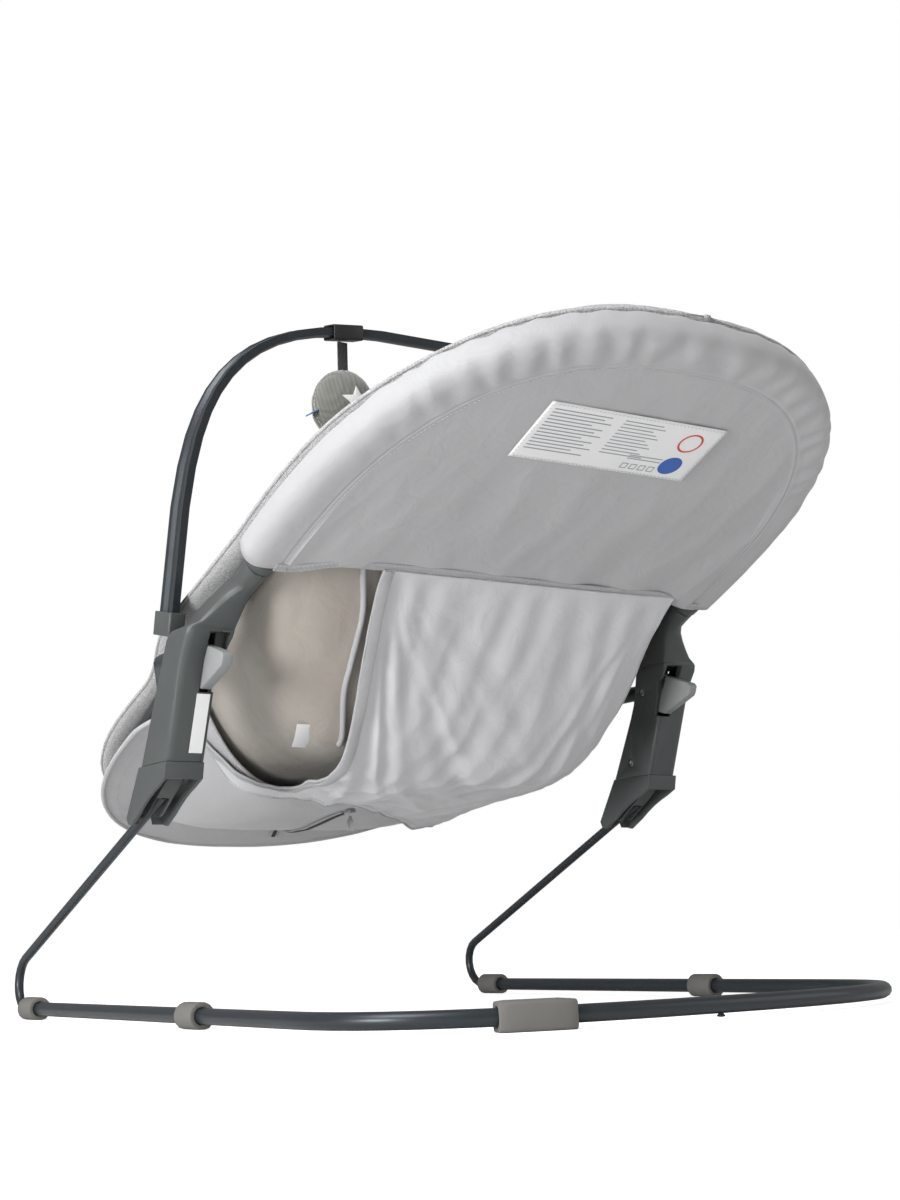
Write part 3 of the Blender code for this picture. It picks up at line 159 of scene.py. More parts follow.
def sizes():
    return bpy.context.scene.bouncer_sizes


def colours():
    return bpy.context.scene.bouncer_colours


# ---------------------------------------------------------------- shape of the seat
def fraction(low, high, value):
    t = min(max((value - low) / (high - low), 0.0), 1.0)
    return t * t * (3 - 2 * t)


def spread(start, end, steps):
    return [start + (end - start) * i / steps for i in range(steps + 1)]


def seat_point(t, x, lift=0.0):
    """A point on the seat's frame plane: t from the neck, + to the head, - to the feet."""
    angle = LEG_ANGLE + (BACK_ANGLE - LEG_ANGLE) * fraction(-0.04, 0.04, t)
    run = BACK_ANGLE if t > 0 else LEG_ANGLE
    y = NECK[0] + t * math.cos(run) - lift * math.sin(angle)
    z = NECK[1] + t * math.sin(run) + lift * math.cos(angle)
    return Vector((x, y + DATUM_Y, z))


def half_width(t, inset=0.0):
    if t > BACK_BULGE:
        share = min((t - BACK_BULGE) / (BACK_LENGTH - BACK_BULGE - inset), 1.0)
        return (BACK_HALF - inset) * max(1 - share ** BACK_POWER, 0.0) ** (1 / BACK_POWER)
    if t > -LEG_STRAIGHT:
        return BACK_HALF - inset + (LEG_HALF - BACK_HALF) * fraction(*NARROWING, -t)
    share = min((-t - LEG_STRAIGHT) / (LEG_LENGTH - LEG_STRAIGHT - inset), 1.0)
    return (LEG_HALF - inset) * max(1 - share ** LEG_POWER, 0.0) ** (1 / LEG_POWER)


def sag_at(y):
    share = (SAG_FROM - y) / (SAG_FROM - SAG_TO)
    if share <= 0 or share >= 1:
        return 0.0
    return SAG * fraction(0.0, SAG_RISE, share) * (1 - share) ** SAG_FALL


def pan_half(t):
    """Half width of the part of the seat that sags."""
    return max(half_width(t) - PAN_EDGE, LEAST_PAN)


def pan_point(t, x, lift):
    """A point of the sagging seat, `lift` above the frame plane before it sags."""
    point = seat_point(t, x, lift)
    edge = pan_half(t)
    if abs(x) < edge:
        point.z -= sag_at(seat_point(t, 0).y - DATUM_Y) * (1 - abs(x / edge) ** SAG_POWER)
    return point


def folds(x, y, reach, seed):
    """Soft crumpled folds, from -1 to 1, for a place in a piece of cloth."""
    wide = noise.noise(Vector((x / reach, y / reach, seed)))
    ridge = 1 - 2 * abs(noise.noise(Vector((x / reach * 1.7 + 9, y / reach * 0.9, seed + 5))))
    return 0.6 * wide + 0.4 * (ridge - 0.6)


# ---------------------------------------------------------------- mesh helpers
def new_object(name, points, faces, smooth=True):
    mesh = bpy.data.meshes.new(name)
    mesh.from_pydata([tuple(p) for p in points], [], faces)
    ob = bpy.data.objects.new(name, mesh)
    bpy.context.collection.objects.link(ob)
    if smooth:
        mesh.shade_smooth()
    return ob


def grid_faces(rows, columns, start=0):
    faces = []
    for i in range(rows - 1):
        for j in range(columns - 1):
            a = start + i * columns + j
            faces.append((a, a + 1, a + columns + 1, a + columns))
    return faces


def settle(ob):
    """Applies an object's modifiers, so that it's left with a plain mesh."""
    graph = bpy.context.evaluated_depsgraph_get()
    mesh = bpy.data.meshes.new_from_object(ob.evaluated_get(graph))
    ob.modifiers.clear()
    ob.data = mesh
    mesh.shade_smooth()
    return ob


def merge(ob, distance=0.00002):
    bm = bmesh.new()
    bm.from_mesh(ob.data)
    bmesh.ops.remove_doubles(bm, verts=bm.verts, dist=distance)
    bmesh.ops.dissolve_degenerate(bm, edges=bm.edges, dist=distance / 2)
    bmesh.ops.recalc_face_normals(bm, faces=bm.faces)
    bm.to_mesh(ob.data)
    bm.free()
    ob.data.shade_smooth()


def cloth(name, place, rows, columns, thick, finish, outward, levels=1):
    """A sheet from place(row, column), given thickness inwards and rounded edges."""
    points = [place(r, c) for r in rows for c in columns]
    ob = new_object(name, points, grid_faces(len(rows), len(columns)))
    merge(ob)
    normal = sum((p.normal * p.area for p in ob.data.polygons), Vector())
    if normal.dot(Vector(outward)) < 0:
        ob.data.flip_normals()
    if levels:
        round_off = ob.modifiers.new("Rounding", "SUBSURF")
        round_off.levels = levels
        round_off.render_levels = levels
    wall = ob.modifiers.new("Thickness", "SOLIDIFY")
    wall.thickness = thick
    wall.offset = -1
    settle(ob)
    ob.data.materials.clear()
    ob.data.materials.append(MATERIALS[finish])
    return ob


def ribbon(name, line, across, lift, width, thick, finish):
    """A flat tape along a line of points, with slightly rounded sides."""
    section = [(-0.5, 0.0), (-0.5, 0.7), (-0.42, 1.0), (0.42, 1.0), (0.5, 0.7), (0.5, 0.0)]
    points = []
    for p, side, up in zip(line, across, lift):
        for a, b in section:
            points.append(p + side * (a * width) + up * (b * thick))
    count = len(section)
    faces = []
    for i in range(len(line) - 1):
        for j in range(count):
            k = (j + 1) % count
            faces.append((i * count + j, i * count + k, (i + 1) * count + k, (i + 1) * count + j))
    faces.append(tuple(range(count)))
    faces.append(tuple(range(len(points) - count, len(points))))
    ob = new_object(name, points, faces)
    merge(ob)
    ob.data.set_sharp_from_angle(angle=math.radians(50))
    ob.data.materials.append(MATERIALS[finish])
    return ob


def dress(ob, body, slot, *nodes):
    """Hangs a finished piece on its body, in place of the frame's plain solids."""
    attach(ob, body)
    if nodes:
        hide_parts(*nodes)
    return ob


# ---------------------------------------------------------------- shader node groups
MATERIALS = {}
GROUPS = {}


def new_group(name, inputs, outputs):
    group = bpy.data.node_groups.new(name, "ShaderNodeTree")
    for label, kind, default in inputs:
        socket = group.interface.new_socket(name=label, in_out="INPUT", socket_type=kind)
        if default is not None:
            socket.default_value = default
    for label, kind in outputs:
        group.interface.new_socket(name=label, in_out="OUTPUT", socket_type=kind)
    GROUPS[name] = group
    return group, group.nodes.new("NodeGroupInput"), group.nodes.new("NodeGroupOutput")


def node(tree, kind, **settings):
    made = tree.nodes.new(kind)
    for key, value in settings.items():
        if key in made.inputs:
            made.inputs[key].default_value = value
        else:
            setattr(made, key, value)
    return made


def math_node(tree, operation, first, second=None):
    made = tree.nodes.new("ShaderNodeMath")
    made.operation = operation
    for i, value in enumerate((first, second)):
        if value is None:
            continue
        if isinstance(value, (int, float)):
            made.inputs[i].default_value = value
        else:
            tree.links.new(value, made.inputs[i])
    return made.outputs[0]


def turned_place(tree, vector):
    """Object position turned so that its Y runs along the sloping seat."""
    mapping = node(tree, "ShaderNodeMapping")
    mapping.inputs["Rotation"].default_value = (-BACK_ANGLE, 0, 0)
    tree.links.new(vector, mapping.inputs["Vector"])
    return mapping.outputs[0]


def weave_group():
    """Over-and-under threads: shade for the colour, height for the bump."""
    group, entry, leave = new_group(
        "Woven threads",
        [("Vector", "NodeSocketVector", None), ("Threads per metre", "NodeSocketFloat", 1200.0),
         ("Slub", "NodeSocketFloat", 0.3)],
        [("Shade", "NodeSocketFloat"), ("Height", "NodeSocketFloat")])
    link = group.links.new
    place = turned_place(group, entry.outputs["Vector"])
    scaled = node(group, "ShaderNodeVectorMath", operation="SCALE")
    link(place, scaled.inputs[0])
    link(entry.outputs["Threads per metre"], scaled.inputs["Scale"])
    split = node(group, "ShaderNodeSeparateXYZ")
    link(scaled.outputs[0], split.inputs[0])
    warp = math_node(group, "SINE", math_node(group, "MULTIPLY", split.outputs[0], math.pi))
    weft = math_node(group, "SINE", math_node(group, "MULTIPLY", split.outputs[1], math.pi))
    crossing = math_node(group, "MULTIPLY", warp, weft)
    slub = node(group, "ShaderNodeTexNoise", Scale=0.12, Detail=3.0)
    link(scaled.outputs[0], slub.inputs["Vector"])
    uneven = math_node(group, "MULTIPLY", slub.outputs["Fac"], entry.outputs["Slub"])
    height = math_node(group, "ADD", math_node(group, "MULTIPLY", crossing, 0.5), uneven)
    shade = math_node(group, "ADD", math_node(group, "MULTIPLY", crossing, 0.25), uneven)
    link(shade, leave.inputs["Shade"])
    link(height, leave.inputs["Height"])


def speckle_group():
    """Two yarns twisted together, as in a melange knit."""
    group, entry, leave = new_group(
        "Melange yarn",
        [("Vector", "NodeSocketVector", None), ("Stitches per metre", "NodeSocketFloat", 1150.0)],
        [("Mask", "NodeSocketFloat"), ("Height", "NodeSocketFloat")])
    link = group.links.new
    place = turned_place(group, entry.outputs["Vector"])
    scaled = node(group, "ShaderNodeVectorMath", operation="SCALE")
    link(place, scaled.inputs[0])
    link(entry.outputs["Stitches per metre"], scaled.inputs["Scale"])
    longer = node(group, "ShaderNodeMapping")
    longer.inputs["Scale"].default_value = (0.45, 1.3, 1.0)
    link(scaled.outputs[0], longer.inputs["Vector"])
    flecks = node(group, "ShaderNodeTexNoise", Scale=1.0, Detail=2.0, Roughness=0.75)
    link(longer.outputs[0], flecks.inputs["Vector"])
    ramp = node(group, "ShaderNodeValToRGB")
    ramp.color_ramp.elements[0].position = 0.40
    ramp.color_ramp.elements[1].position = 0.58
    link(flecks.outputs["Fac"], ramp.inputs["Fac"])
    split = node(group, "ShaderNodeSeparateXYZ")
    link(scaled.outputs[0], split.inputs[0])
    wale = math_node(group, "SINE", math_node(group, "MULTIPLY", split.outputs[0], math.pi))
    course = math_node(group, "SINE", math_node(group, "MULTIPLY", split.outputs[1], math.pi * 1.4))
    loops = math_node(group, "MULTIPLY", wale, course)
    link(ramp.outputs["Color"], leave.inputs["Mask"])
    link(math_node(group, "ADD", loops, flecks.outputs["Fac"]), leave.inputs["Height"])


def grain_group():
    """Fine surface grain with slow variation, for moulded and coated parts."""
    group, entry, leave = new_group(
        "Fine grain",
        [("Vector", "NodeSocketVector", None), ("Grains per metre", "NodeSocketFloat", 1800.0),
         ("Patch size", "NodeSocketFloat", 40.0)],
        [("Height", "NodeSocketFloat"), ("Patches", "NodeSocketFloat")])
    link = group.links.new
    fine = node(group, "ShaderNodeTexNoise", Detail=3.0, Roughness=0.6)
    link(entry.outputs["Vector"], fine.inputs["Vector"])
    link(entry.outputs["Grains per metre"], fine.inputs["Scale"])
    slow = node(group, "ShaderNodeTexNoise", Detail=4.0, Roughness=0.55)
    link(entry.outputs["Vector"], slow.inputs["Vector"])
    link(entry.outputs["Patch size"], slow.inputs["Scale"])
    link(fine.outputs["Fac"], leave.inputs["Height"])
    link(slow.outputs["Fac"], leave.inputs["Patches"])


def start_material(name, roughness, metallic=0.0, specular=0.5):
    material = bpy.data.materials.new(name)
    material.use_nodes = True
    tree = material.node_tree
    shader = tree.nodes["Principled BSDF"]
    shader.inputs["Roughness"].default_value = roughness
    shader.inputs["Metallic"].default_value = metallic
    shader.inputs["Specular IOR Level"].default_value = specular
    place = tree.nodes.new("ShaderNodeTexCoord").outputs["Object"]
    MATERIALS[name] = material
    return material, tree, shader, place


def use_group(tree, name, place, **values):
    made = tree.nodes.new("ShaderNodeGroup")
    made.node_tree = GROUPS[name]
    tree.links.new(place, made.inputs["Vector"])
    for key, value in values.items():
        made.inputs[key.replace("_", " ").capitalize()].default_value = value
    return made


def bump(tree, shader, height, strength, distance, under=None):
    made = node(tree, "ShaderNodeBump", Strength=strength, Distance=distance)
    tree.links.new(height, made.inputs["Height"])
    if under is not None:
        tree.links.new(under, made.inputs["Normal"])
    tree.links.new(made.outputs["Normal"], shader.inputs["Normal"])
    return made.outputs["Normal"]


def two_tone(tree, shader, factor, dark, light):
    mix = node(tree, "ShaderNodeMix", data_type="RGBA")
    mix.inputs[6].default_value = (*dark, 1)
    mix.inputs[7].default_value = (*light, 1)
    tree.links.new(factor, mix.inputs[0])
    tree.links.new(mix.outputs[2], shader.inputs["Base Color"])


def shade_of(base, by):
    return tuple(min(max(c * by, 0.0), 1.0) for c in base)


def coated(name, base, roughness, metallic, grains, depth, specular=0.5, spread_by=0.10):
    """Painted, moulded or rubber surface with grain and slight patches."""
    material, tree, shader, place = start_material(name, roughness, metallic, specular)
    grain = use_group(tree, "Fine grain", place, grains_per_metre=grains)
    two_tone(tree, shader, grain.outputs["Patches"], shade_of(base, 1 - spread_by),
             shade_of(base, 1 + spread_by))
    rough = node(tree, "ShaderNodeMapRange")
    rough.inputs["To Min"].default_value = roughness - 0.08
    rough.inputs["To Max"].default_value = roughness + 0.10
    tree.links.new(grain.outputs["Patches"], rough.inputs["Value"])
    tree.links.new(rough.outputs[0], shader.inputs["Roughness"])
    bump(tree, shader, grain.outputs["Height"], 0.35, depth)
    return material


def woven(name, base, threads, roughness, depth, sheen, contrast=0.14, crumple=0.0):
    """Woven cloth, with a soft sheen and small crumples."""
    material, tree, shader, place = start_material(name, roughness, specular=0.35)
    weave = use_group(tree, "Woven threads", place, threads_per_metre=threads)
    two_tone(tree, shader, weave.outputs["Shade"], shade_of(base, 1 - contrast),
             shade_of(base, 1 + contrast))
    under = None
    if crumple:
        soft = node(tree, "ShaderNodeTexNoise", Scale=38.0, Detail=4.0, Roughness=0.55, Distortion=0.8)
        tree.links.new(place, soft.inputs["Vector"])
        under = bump(tree, shader, soft.outputs["Fac"], 0.6, crumple)
    bump(tree, shader, weave.outputs["Height"], 0.5, depth, under)
    shader.inputs["Sheen Weight"].default_value = sheen
    shader.inputs["Sheen Roughness"].default_value = 0.5
    return material


def build_materials():
    c = colours()
    weave_group()
    speckle_group()
    grain_group()
    coated("frame_paint", c.paint, 0.33, 0.35, 2600, 0.00003)
    coated("rubber", c.rubber, 0.72, 0.0, 900, 0.00025, specular=0.3)
    coated("dark_plastic", c.plastic, 0.42, 0.0, 1500, 0.00012)
    coated("trigger_plastic", c.trigger, 0.45, 0.0, 1500, 0.00010)
    coated("black_plastic", (0.013, 0.013, 0.014), 0.45, 0.0, 1500, 0.00010)
    coated("steel", (0.50, 0.50, 0.51), 0.32, 1.0, 700, 0.00006)
    coated("label_white", (0.80, 0.80, 0.80), 0.55, 0.0, 2500, 0.00005, spread_by=0.02)
    coated("label_grey", (0.30, 0.31, 0.33), 0.6, 0.0, 2500, 0.00003)
    coated("label_red", (0.60, 0.045, 0.045), 0.55, 0.0, 2500, 0.00003)
    coated("label_blue", (0.035, 0.12, 0.42), 0.55, 0.0, 2500, 0.00003)
    coated("thread_pale", shade_of(c.cover, 1.25), 0.7, 0.0, 3000, 0.00005)
    coated("thread_dark", (0.05, 0.05, 0.052), 0.7, 0.0, 3000, 0.00005)
    woven("grey_polyester", c.cover, 1500, 0.62, 0.00010, 0.25, contrast=0.07, crumple=0.0016)
    # The apron is the cover's own cloth painted 1.36 times lighter: painted light, for the brighter light
    # that falls on the apron
    woven("apron_polyester_painted_light", shade_of(c.cover, 1.36), 1500, 0.55, 0.00010, 0.25, contrast=0.07,
          crumple=0.0022)
    woven("binding", shade_of(c.cover, 0.92), 900, 0.7, 0.00025, 0.2, contrast=0.16)
    woven("taupe_satin", c.satin, 1400, 0.36, 0.00012, 0.35, contrast=0.12, crumple=0.0026)
    woven("webbing", c.webbing, 620, 0.72, 0.00045, 0.25, contrast=0.35)
    woven("plush", c.plush, 420, 0.95, 0.0011, 0.6, contrast=0.30)
    woven("patch_white", (0.72, 0.72, 0.70), 900, 0.8, 0.00030, 0.3)
    woven("patch_blue", (0.05, 0.13, 0.30), 900, 0.8, 0.00030, 0.3)
    tree, shader, place = start_material("melange_knit", 0.9, specular=0.25)[1:]
    yarn = use_group(tree, "Melange yarn", place)
    two_tone(tree, shader, yarn.outputs["Mask"], c.knit_dark, c.knit_light)
    bump(tree, shader, yarn.outputs["Height"], 0.5, 0.0005)
    shader.inputs["Sheen Weight"].default_value = 0.3


# ---------------------------------------------------------------- stitches and zip teeth
def repeat_tree(name, box_shape):
    """A tree that sets a small solid along every line of a mesh, at an even pitch."""
    tree = bpy.data.node_groups.new(name, "GeometryNodeTree")
    new = tree.interface.new_socket
    new(name="Geometry", in_out="INPUT", socket_type="NodeSocketGeometry")
    for label in ("Pitch", "Length", "Radius"):
        new(name=label, in_out="INPUT", socket_type="NodeSocketFloat")
    new(name="Material", in_out="INPUT", socket_type="NodeSocketMaterial")
    new(name="Geometry", in_out="OUTPUT", socket_type="NodeSocketGeometry")
    make, link = tree.nodes.new, tree.links.new
    entry, leave = make("NodeGroupInput"), make("NodeGroupOutput")
    curve = make("GeometryNodeMeshToCurve")
    points = make("GeometryNodeCurveToPoints")
    points.mode = "LENGTH"
    instance = make("GeometryNodeInstanceOnPoints")
    realize = make("GeometryNodeRealizeInstances")
    finish = make("GeometryNodeSetMaterial")
    smooth = make("GeometryNodeSetShadeSmooth")
    link(entry.outputs["Geometry"], curve.inputs["Mesh"])
    link(curve.outputs["Curve"], points.inputs["Curve"])
    link(entry.outputs["Pitch"], points.inputs["Length"])
    link(points.outputs["Points"], instance.inputs["Points"])
    link(points.outputs["Rotation"], instance.inputs["Rotation"])
    if box_shape:
        solid = make("GeometryNodeMeshCube")
        sides = make("ShaderNodeCombineXYZ")
        link(entry.outputs["Length"], sides.inputs["X"])
        link(entry.outputs["Radius"], sides.inputs["Y"])
        link(entry.outputs["Radius"], sides.inputs["Z"])
        link(sides.outputs[0], solid.inputs["Size"])
        link(solid.outputs["Mesh"], instance.inputs["Instance"])
        link(realize.outputs[0], finish.inputs["Geometry"])
    else:
        solid = make("GeometryNodeMeshUVSphere")
        solid.inputs["Segments"].default_value = 6
        solid.inputs["Rings"].default_value = 5
        link(entry.outputs["Radius"], solid.inputs["Radius"])
        stretch = make("GeometryNodeTransform")
        ratio = make("ShaderNodeMath")
        ratio.operation = "DIVIDE"
        half = make("ShaderNodeMath")
        half.operation = "MULTIPLY"
        half.inputs[1].default_value = 0.5
        link(entry.outputs["Length"], half.inputs[0])
        link(half.outputs[0], ratio.inputs[0])
        link(entry.outputs["Radius"], ratio.inputs[1])
        scale = make("ShaderNodeCombineXYZ")
        scale.inputs["X"].default_value = 1.0
        scale.inputs["Y"].default_value = 1.0
        link(ratio.outputs[0], scale.inputs["Z"])
        link(solid.outputs["Mesh"], stretch.inputs["Geometry"])
        link(scale.outputs[0], stretch.inputs["Scale"])
        link(stretch.outputs["Geometry"], instance.inputs["Instance"])
        link(realize.outputs[0], smooth.inputs["Geometry"])
        link(smooth.outputs["Geometry"], finish.inputs["Geometry"])
    link(instance.outputs["Instances"], realize.inputs["Geometry"])
    link(entry.outputs["Material"], finish.inputs["Material"])
    link(finish.outputs["Geometry"], leave.inputs["Geometry"])
    return tree


def repeat_along(name, lines, finish, body, slot, pitch, length, radius, box_shape=False):
    """Stitches, or box-shaped zip teeth, along some lines of points."""
    label = "Zip teeth" if box_shape else "Stitches"
    tree = bpy.data.node_groups.get(label) or repeat_tree(label, box_shape)
    points, edges = [], []
    for line in lines:
        start = len(points)
        points += [tuple(p) for p in line]
        edges += [(start + i, start + i + 1) for i in range(len(line) - 1)]
    mesh = bpy.data.meshes.new(name)
    mesh.from_pydata(points, edges, [])
    ob = bpy.data.objects.new(name, mesh)
    bpy.context.collection.objects.link(ob)
    modifier = ob.modifiers.new(label, "NODES")
    modifier.node_group = tree
    keys = {item.name: item.identifier for item in tree.interface.items_tree if item.in_out == "INPUT"}
    for key, value in (("Pitch", pitch), ("Length", length), ("Radius", radius),
                       ("Material", MATERIALS[finish])):
        modifier[keys[key]] = value
    graph = bpy.context.evaluated_depsgraph_get()
    solid = bpy.data.meshes.new_from_object(ob.evaluated_get(graph))
    ob.modifiers.clear()
    ob.data = solid
    return dress(ob, body, slot)


def stitches(name, lines, finish="thread_pale", body="seat", slot="grey_polyester"):
    s = sizes()
    return repeat_along(name, lines, finish, body, slot, s.stitch_pitch, s.stitch_length, s.thread_radius)


# ---------------------------------------------------------------- rear cover
UNDER = (0, math.sin(BACK_ANGLE), -math.cos(BACK_ANGLE))
COVER_THICK = 0.0012
ROLL = 0.034                     # width of the gathered strip round the cover's edge
COVER_SEAM = 0.029               # the seam, in from the edge


def outline(turn, inset):
    """x and t of the cover's outline, `inset` in from the edge, at a turn from 0 to pi."""
    c, s = math.cos(turn), max(math.sin(turn), 0.0)
    x = math.copysign((BACK_HALF - inset) * abs(c) ** (2 / BACK_POWER), c)
    t = BACK_BULGE + (BACK_LENGTH - BACK_BULGE - inset) * s ** (2 / BACK_POWER)
    return x, t - 0.012 * (1 - fraction(0.0, 0.28, min(turn, math.pi - turn)))


def hem_t(x):
    """The hem dips towards the corners, where it's sewn to the tube's sleeve."""
    return COVER_HEM - 0.012 * fraction(0.150, 0.199, abs(x)) + 0.0012 * math.sin(x * 23)


def rolled(turn, inset, lift):
    """A point of the gathered strip, `inset` from the edge."""
    x, t = outline(turn, inset)
    along = turn * 0.30
    gather = math.sin(along / 0.0052 + 3.0 * noise.noise(Vector((along * 26, inset * 30, 3.0))))
    gather *= 0.55 + 0.45 * noise.noise(Vector((along * 18, 1.0, inset * 12)))
    strength = fraction(0.0, 0.016, COVER_SEAM - inset + 0.004) * fraction(0.20, 0.7, math.sin(turn))
    depth = sizes().gather_depth * strength
    long_fold = folds(along, inset * 0.6, 0.05, 11.0) * 0.0014 * fraction(0.0, 0.012, COVER_SEAM - inset)
    return seat_point(t, x, lift - depth * gather - long_fold)


def panel(turn, share):
    """A point of the flat rear panel, from the hem (0) to the gathered strip (1)."""
    x, top = outline(turn, ROLL)
    low = min(hem_t(x), top)
    t = low + (top - low) * share
    near_hem = 1 - fraction(0.0, 0.09, t - COVER_HEM)
    pulls = math.sin(x * 95 + 2.5 * noise.noise(Vector((x * 12, t * 9, 7)))) * 0.0010 * near_hem
    fan = noise.noise(Vector((x * 30 + (t - 0.02) * 9, t * 7, 3.3)))
    pulls += (1 - 2 * abs(fan)) * 0.0011 * (1 - fraction(0.0, 0.17, t - COVER_HEM))
    soft = folds(x, t, 0.085, 2.0) * 0.0022 * fraction(0.0, 0.5, share + 0.2)
    return seat_point(t, x, COVER_OUTSIDE - soft * fraction(0.0, 0.10, 1.03 - share) - pulls)


def build_cover():
    rows = [("panel", q) for q in spread(0.0, 1.0, 26)]
    strip = ((0.0315, -0.0119), (0.0300, -0.0124), (0.0290, -0.0113), (0.0278, -0.0124),
             (0.0255, -0.0122), (0.0225, -0.0121), (0.0190, -0.0121), (0.0155, -0.0120),
             (0.0120, -0.0118), (0.0090, -0.0113), (0.0062, -0.0102), (0.0036, -0.0082),
             (0.0016, -0.0056), (0.0004, -0.0026), (0.0, 0.0008), (0.0, 0.0044), (0.0003, 0.0080),
             (0.0008, 0.0112), (0.0020, 0.0130), (0.0038, 0.0134), (0.0056, 0.0124))
    rows += [("strip", d, w) for d, w in strip]
    turns = spread(0.0, math.pi, 150)

    def place(row, turn):
        if row[0] == "panel":
            return panel(turn, row[1])
        return rolled(turn, row[1], row[2])

    cover = cloth("cover_cloth", place, rows, turns, COVER_THICK, "grey_polyester", UNDER)
    dress(cover, "seat", "grey_polyester", "back_cover")
    # hem tape, sewn with two rows
    width = sizes().binding_width
    xs = spread(-0.2075, 0.2075, 90)
    line, across, lifts = [], [], []
    for x in xs:
        line.append(seat_point(hem_t(x) + width / 2 - 0.0008, x, COVER_OUTSIDE - 0.0004))
        across.append(Vector((0, math.cos(BACK_ANGLE), math.sin(BACK_ANGLE))))
        lifts.append(Vector(UNDER))
    tape = ribbon("cover_hem_tape", line, across, lifts, width, 0.0011, "binding")
    dress(tape, "seat", "grey_polyester")
    rows_of_thread = []
    for rise in (0.0011, width - 0.0026):
        rows_of_thread.append([seat_point(hem_t(x) + rise, x, COVER_OUTSIDE - 0.0016) for x in xs])
    seam = [rolled(turn, COVER_SEAM + 0.0030, -0.0127) for turn in spread(0.10, math.pi - 0.10, 140)]
    thread = stitches("cover_stitches", rows_of_thread + [seam])


def build_care_label():
    """White printed label: only rules, boxes and two plain discs, and no words."""
    low, high = LABEL_RISE
    left, right = LABEL_SIDES

    def place(t, x):
        edge = min(x - left, right - x, t - low, high - t)
        return seat_point(t, x, COVER_OUTSIDE - 0.0014 - 0.0005 * fraction(0.0, 0.004, edge))

    label = cloth("care_label_cloth", place, spread(low, high, 16), spread(left, right, 40),
                  0.0003, "label_white", UNDER, levels=0)
    dress(label, "seat", "label_white", "care_label")
    top = COVER_OUTSIDE - 0.00195
    marks = {"label_grey": [], "label_red": [], "label_blue": []}

    def plate(finish, outer, inner=None):
        marks[finish].append((outer, inner))

    def rectangle(x0, t0, x1, t1):
        return [(x0, t0), (x1, t0), (x1, t1), (x0, t1)]

    def ring(x, t, radius):
        turns = spread(0, 2 * math.pi, 24)[:-1]
        return [(x + radius * math.cos(a), t + radius * math.sin(a)) for a in turns]

    for i in range(13):
        t = high - 0.0070 - 0.0036 * i
        reach = (0.052, 0.047, 0.055, 0.040)[i % 4]
        plate("label_grey", rectangle(right - 0.006 - reach, t, right - 0.006, t + 0.0011))
    for i in range(11):
        t = high - 0.0070 - 0.0036 * i
        reach = (0.036, 0.040, 0.031)[i % 3]
        plate("label_grey", rectangle(0.024 - reach, t, 0.024, t + 0.0010))
    for i in range(4):
        x = -0.004 - 0.0085 * i
        plate("label_grey", rectangle(x - 0.0060, low + 0.006, x, low + 0.012),
              rectangle(x - 0.0052, low + 0.0068, x - 0.0008, low + 0.0112))
    for i in range(2):
        t = low + 0.017 + 0.0036 * i
        plate("label_grey", rectangle(-0.036, t, -0.004, t + 0.0010))
    plate("label_red", ring(-0.047, high - 0.019, 0.0105), ring(-0.047, high - 0.019, 0.0088))
    plate("label_blue", ring(-0.047, low + 0.016, 0.0100))
    for finish, plates in marks.items():
        points, faces = [], []
        for outer, inner in plates:
            start = len(points)
            for level in (top, top - 0.00006):
                points += [seat_point(t, x, level) for x, t in outer]
            n = len(outer)
            if inner:
                for level in (top, top - 0.00006):
                    points += [seat_point(t, x, level) for x, t in inner]
            for i in range(n):
                k = (i + 1) % n
                faces.append((start + i, start + k, start + n + k, start + n + i))
                if inner:
                    base = start + 2 * n
                    faces.append((base + k, base + i, base + n + i, base + n + k))
                    faces.append((start + n + i, start + n + k, base + n + k, base + n + i))
                    faces.append((start + k, start + i, base + i, base + k))
            if not inner:
                faces.append(tuple(range(start + n, start + 2 * n)))
                faces.append(tuple(range(start, start + n))[::-1])
        ob = new_object("print_" + finish[6:], points, faces, smooth=False)
        merge(ob, 0.000005)
        ob.data.shade_flat()
        ob.data.materials.append(MATERIALS[finish])
        dress(ob, "seat", "label_white")
    edge = [seat_point(t, x, top + 0.0001) for x, t in
            ((left + 0.002, low + 0.002), (right - 0.002, low + 0.002), (right - 0.002, high - 0.002),
             (left + 0.002, high - 0.002), (left + 0.002, low + 0.002))]
    thread = stitches("label_stitches", [edge], slot="label_white")


# ---------------------------------------------------------------- apron, pocket and sling
EDGE_SHARE = 0.972               # middle of the tape that binds the apron's left edge


def apron_share(t, top):
    """How far t is from the apron's seam (0) to its hem (1)."""
    return (top - t) / (top - HEM_AT)


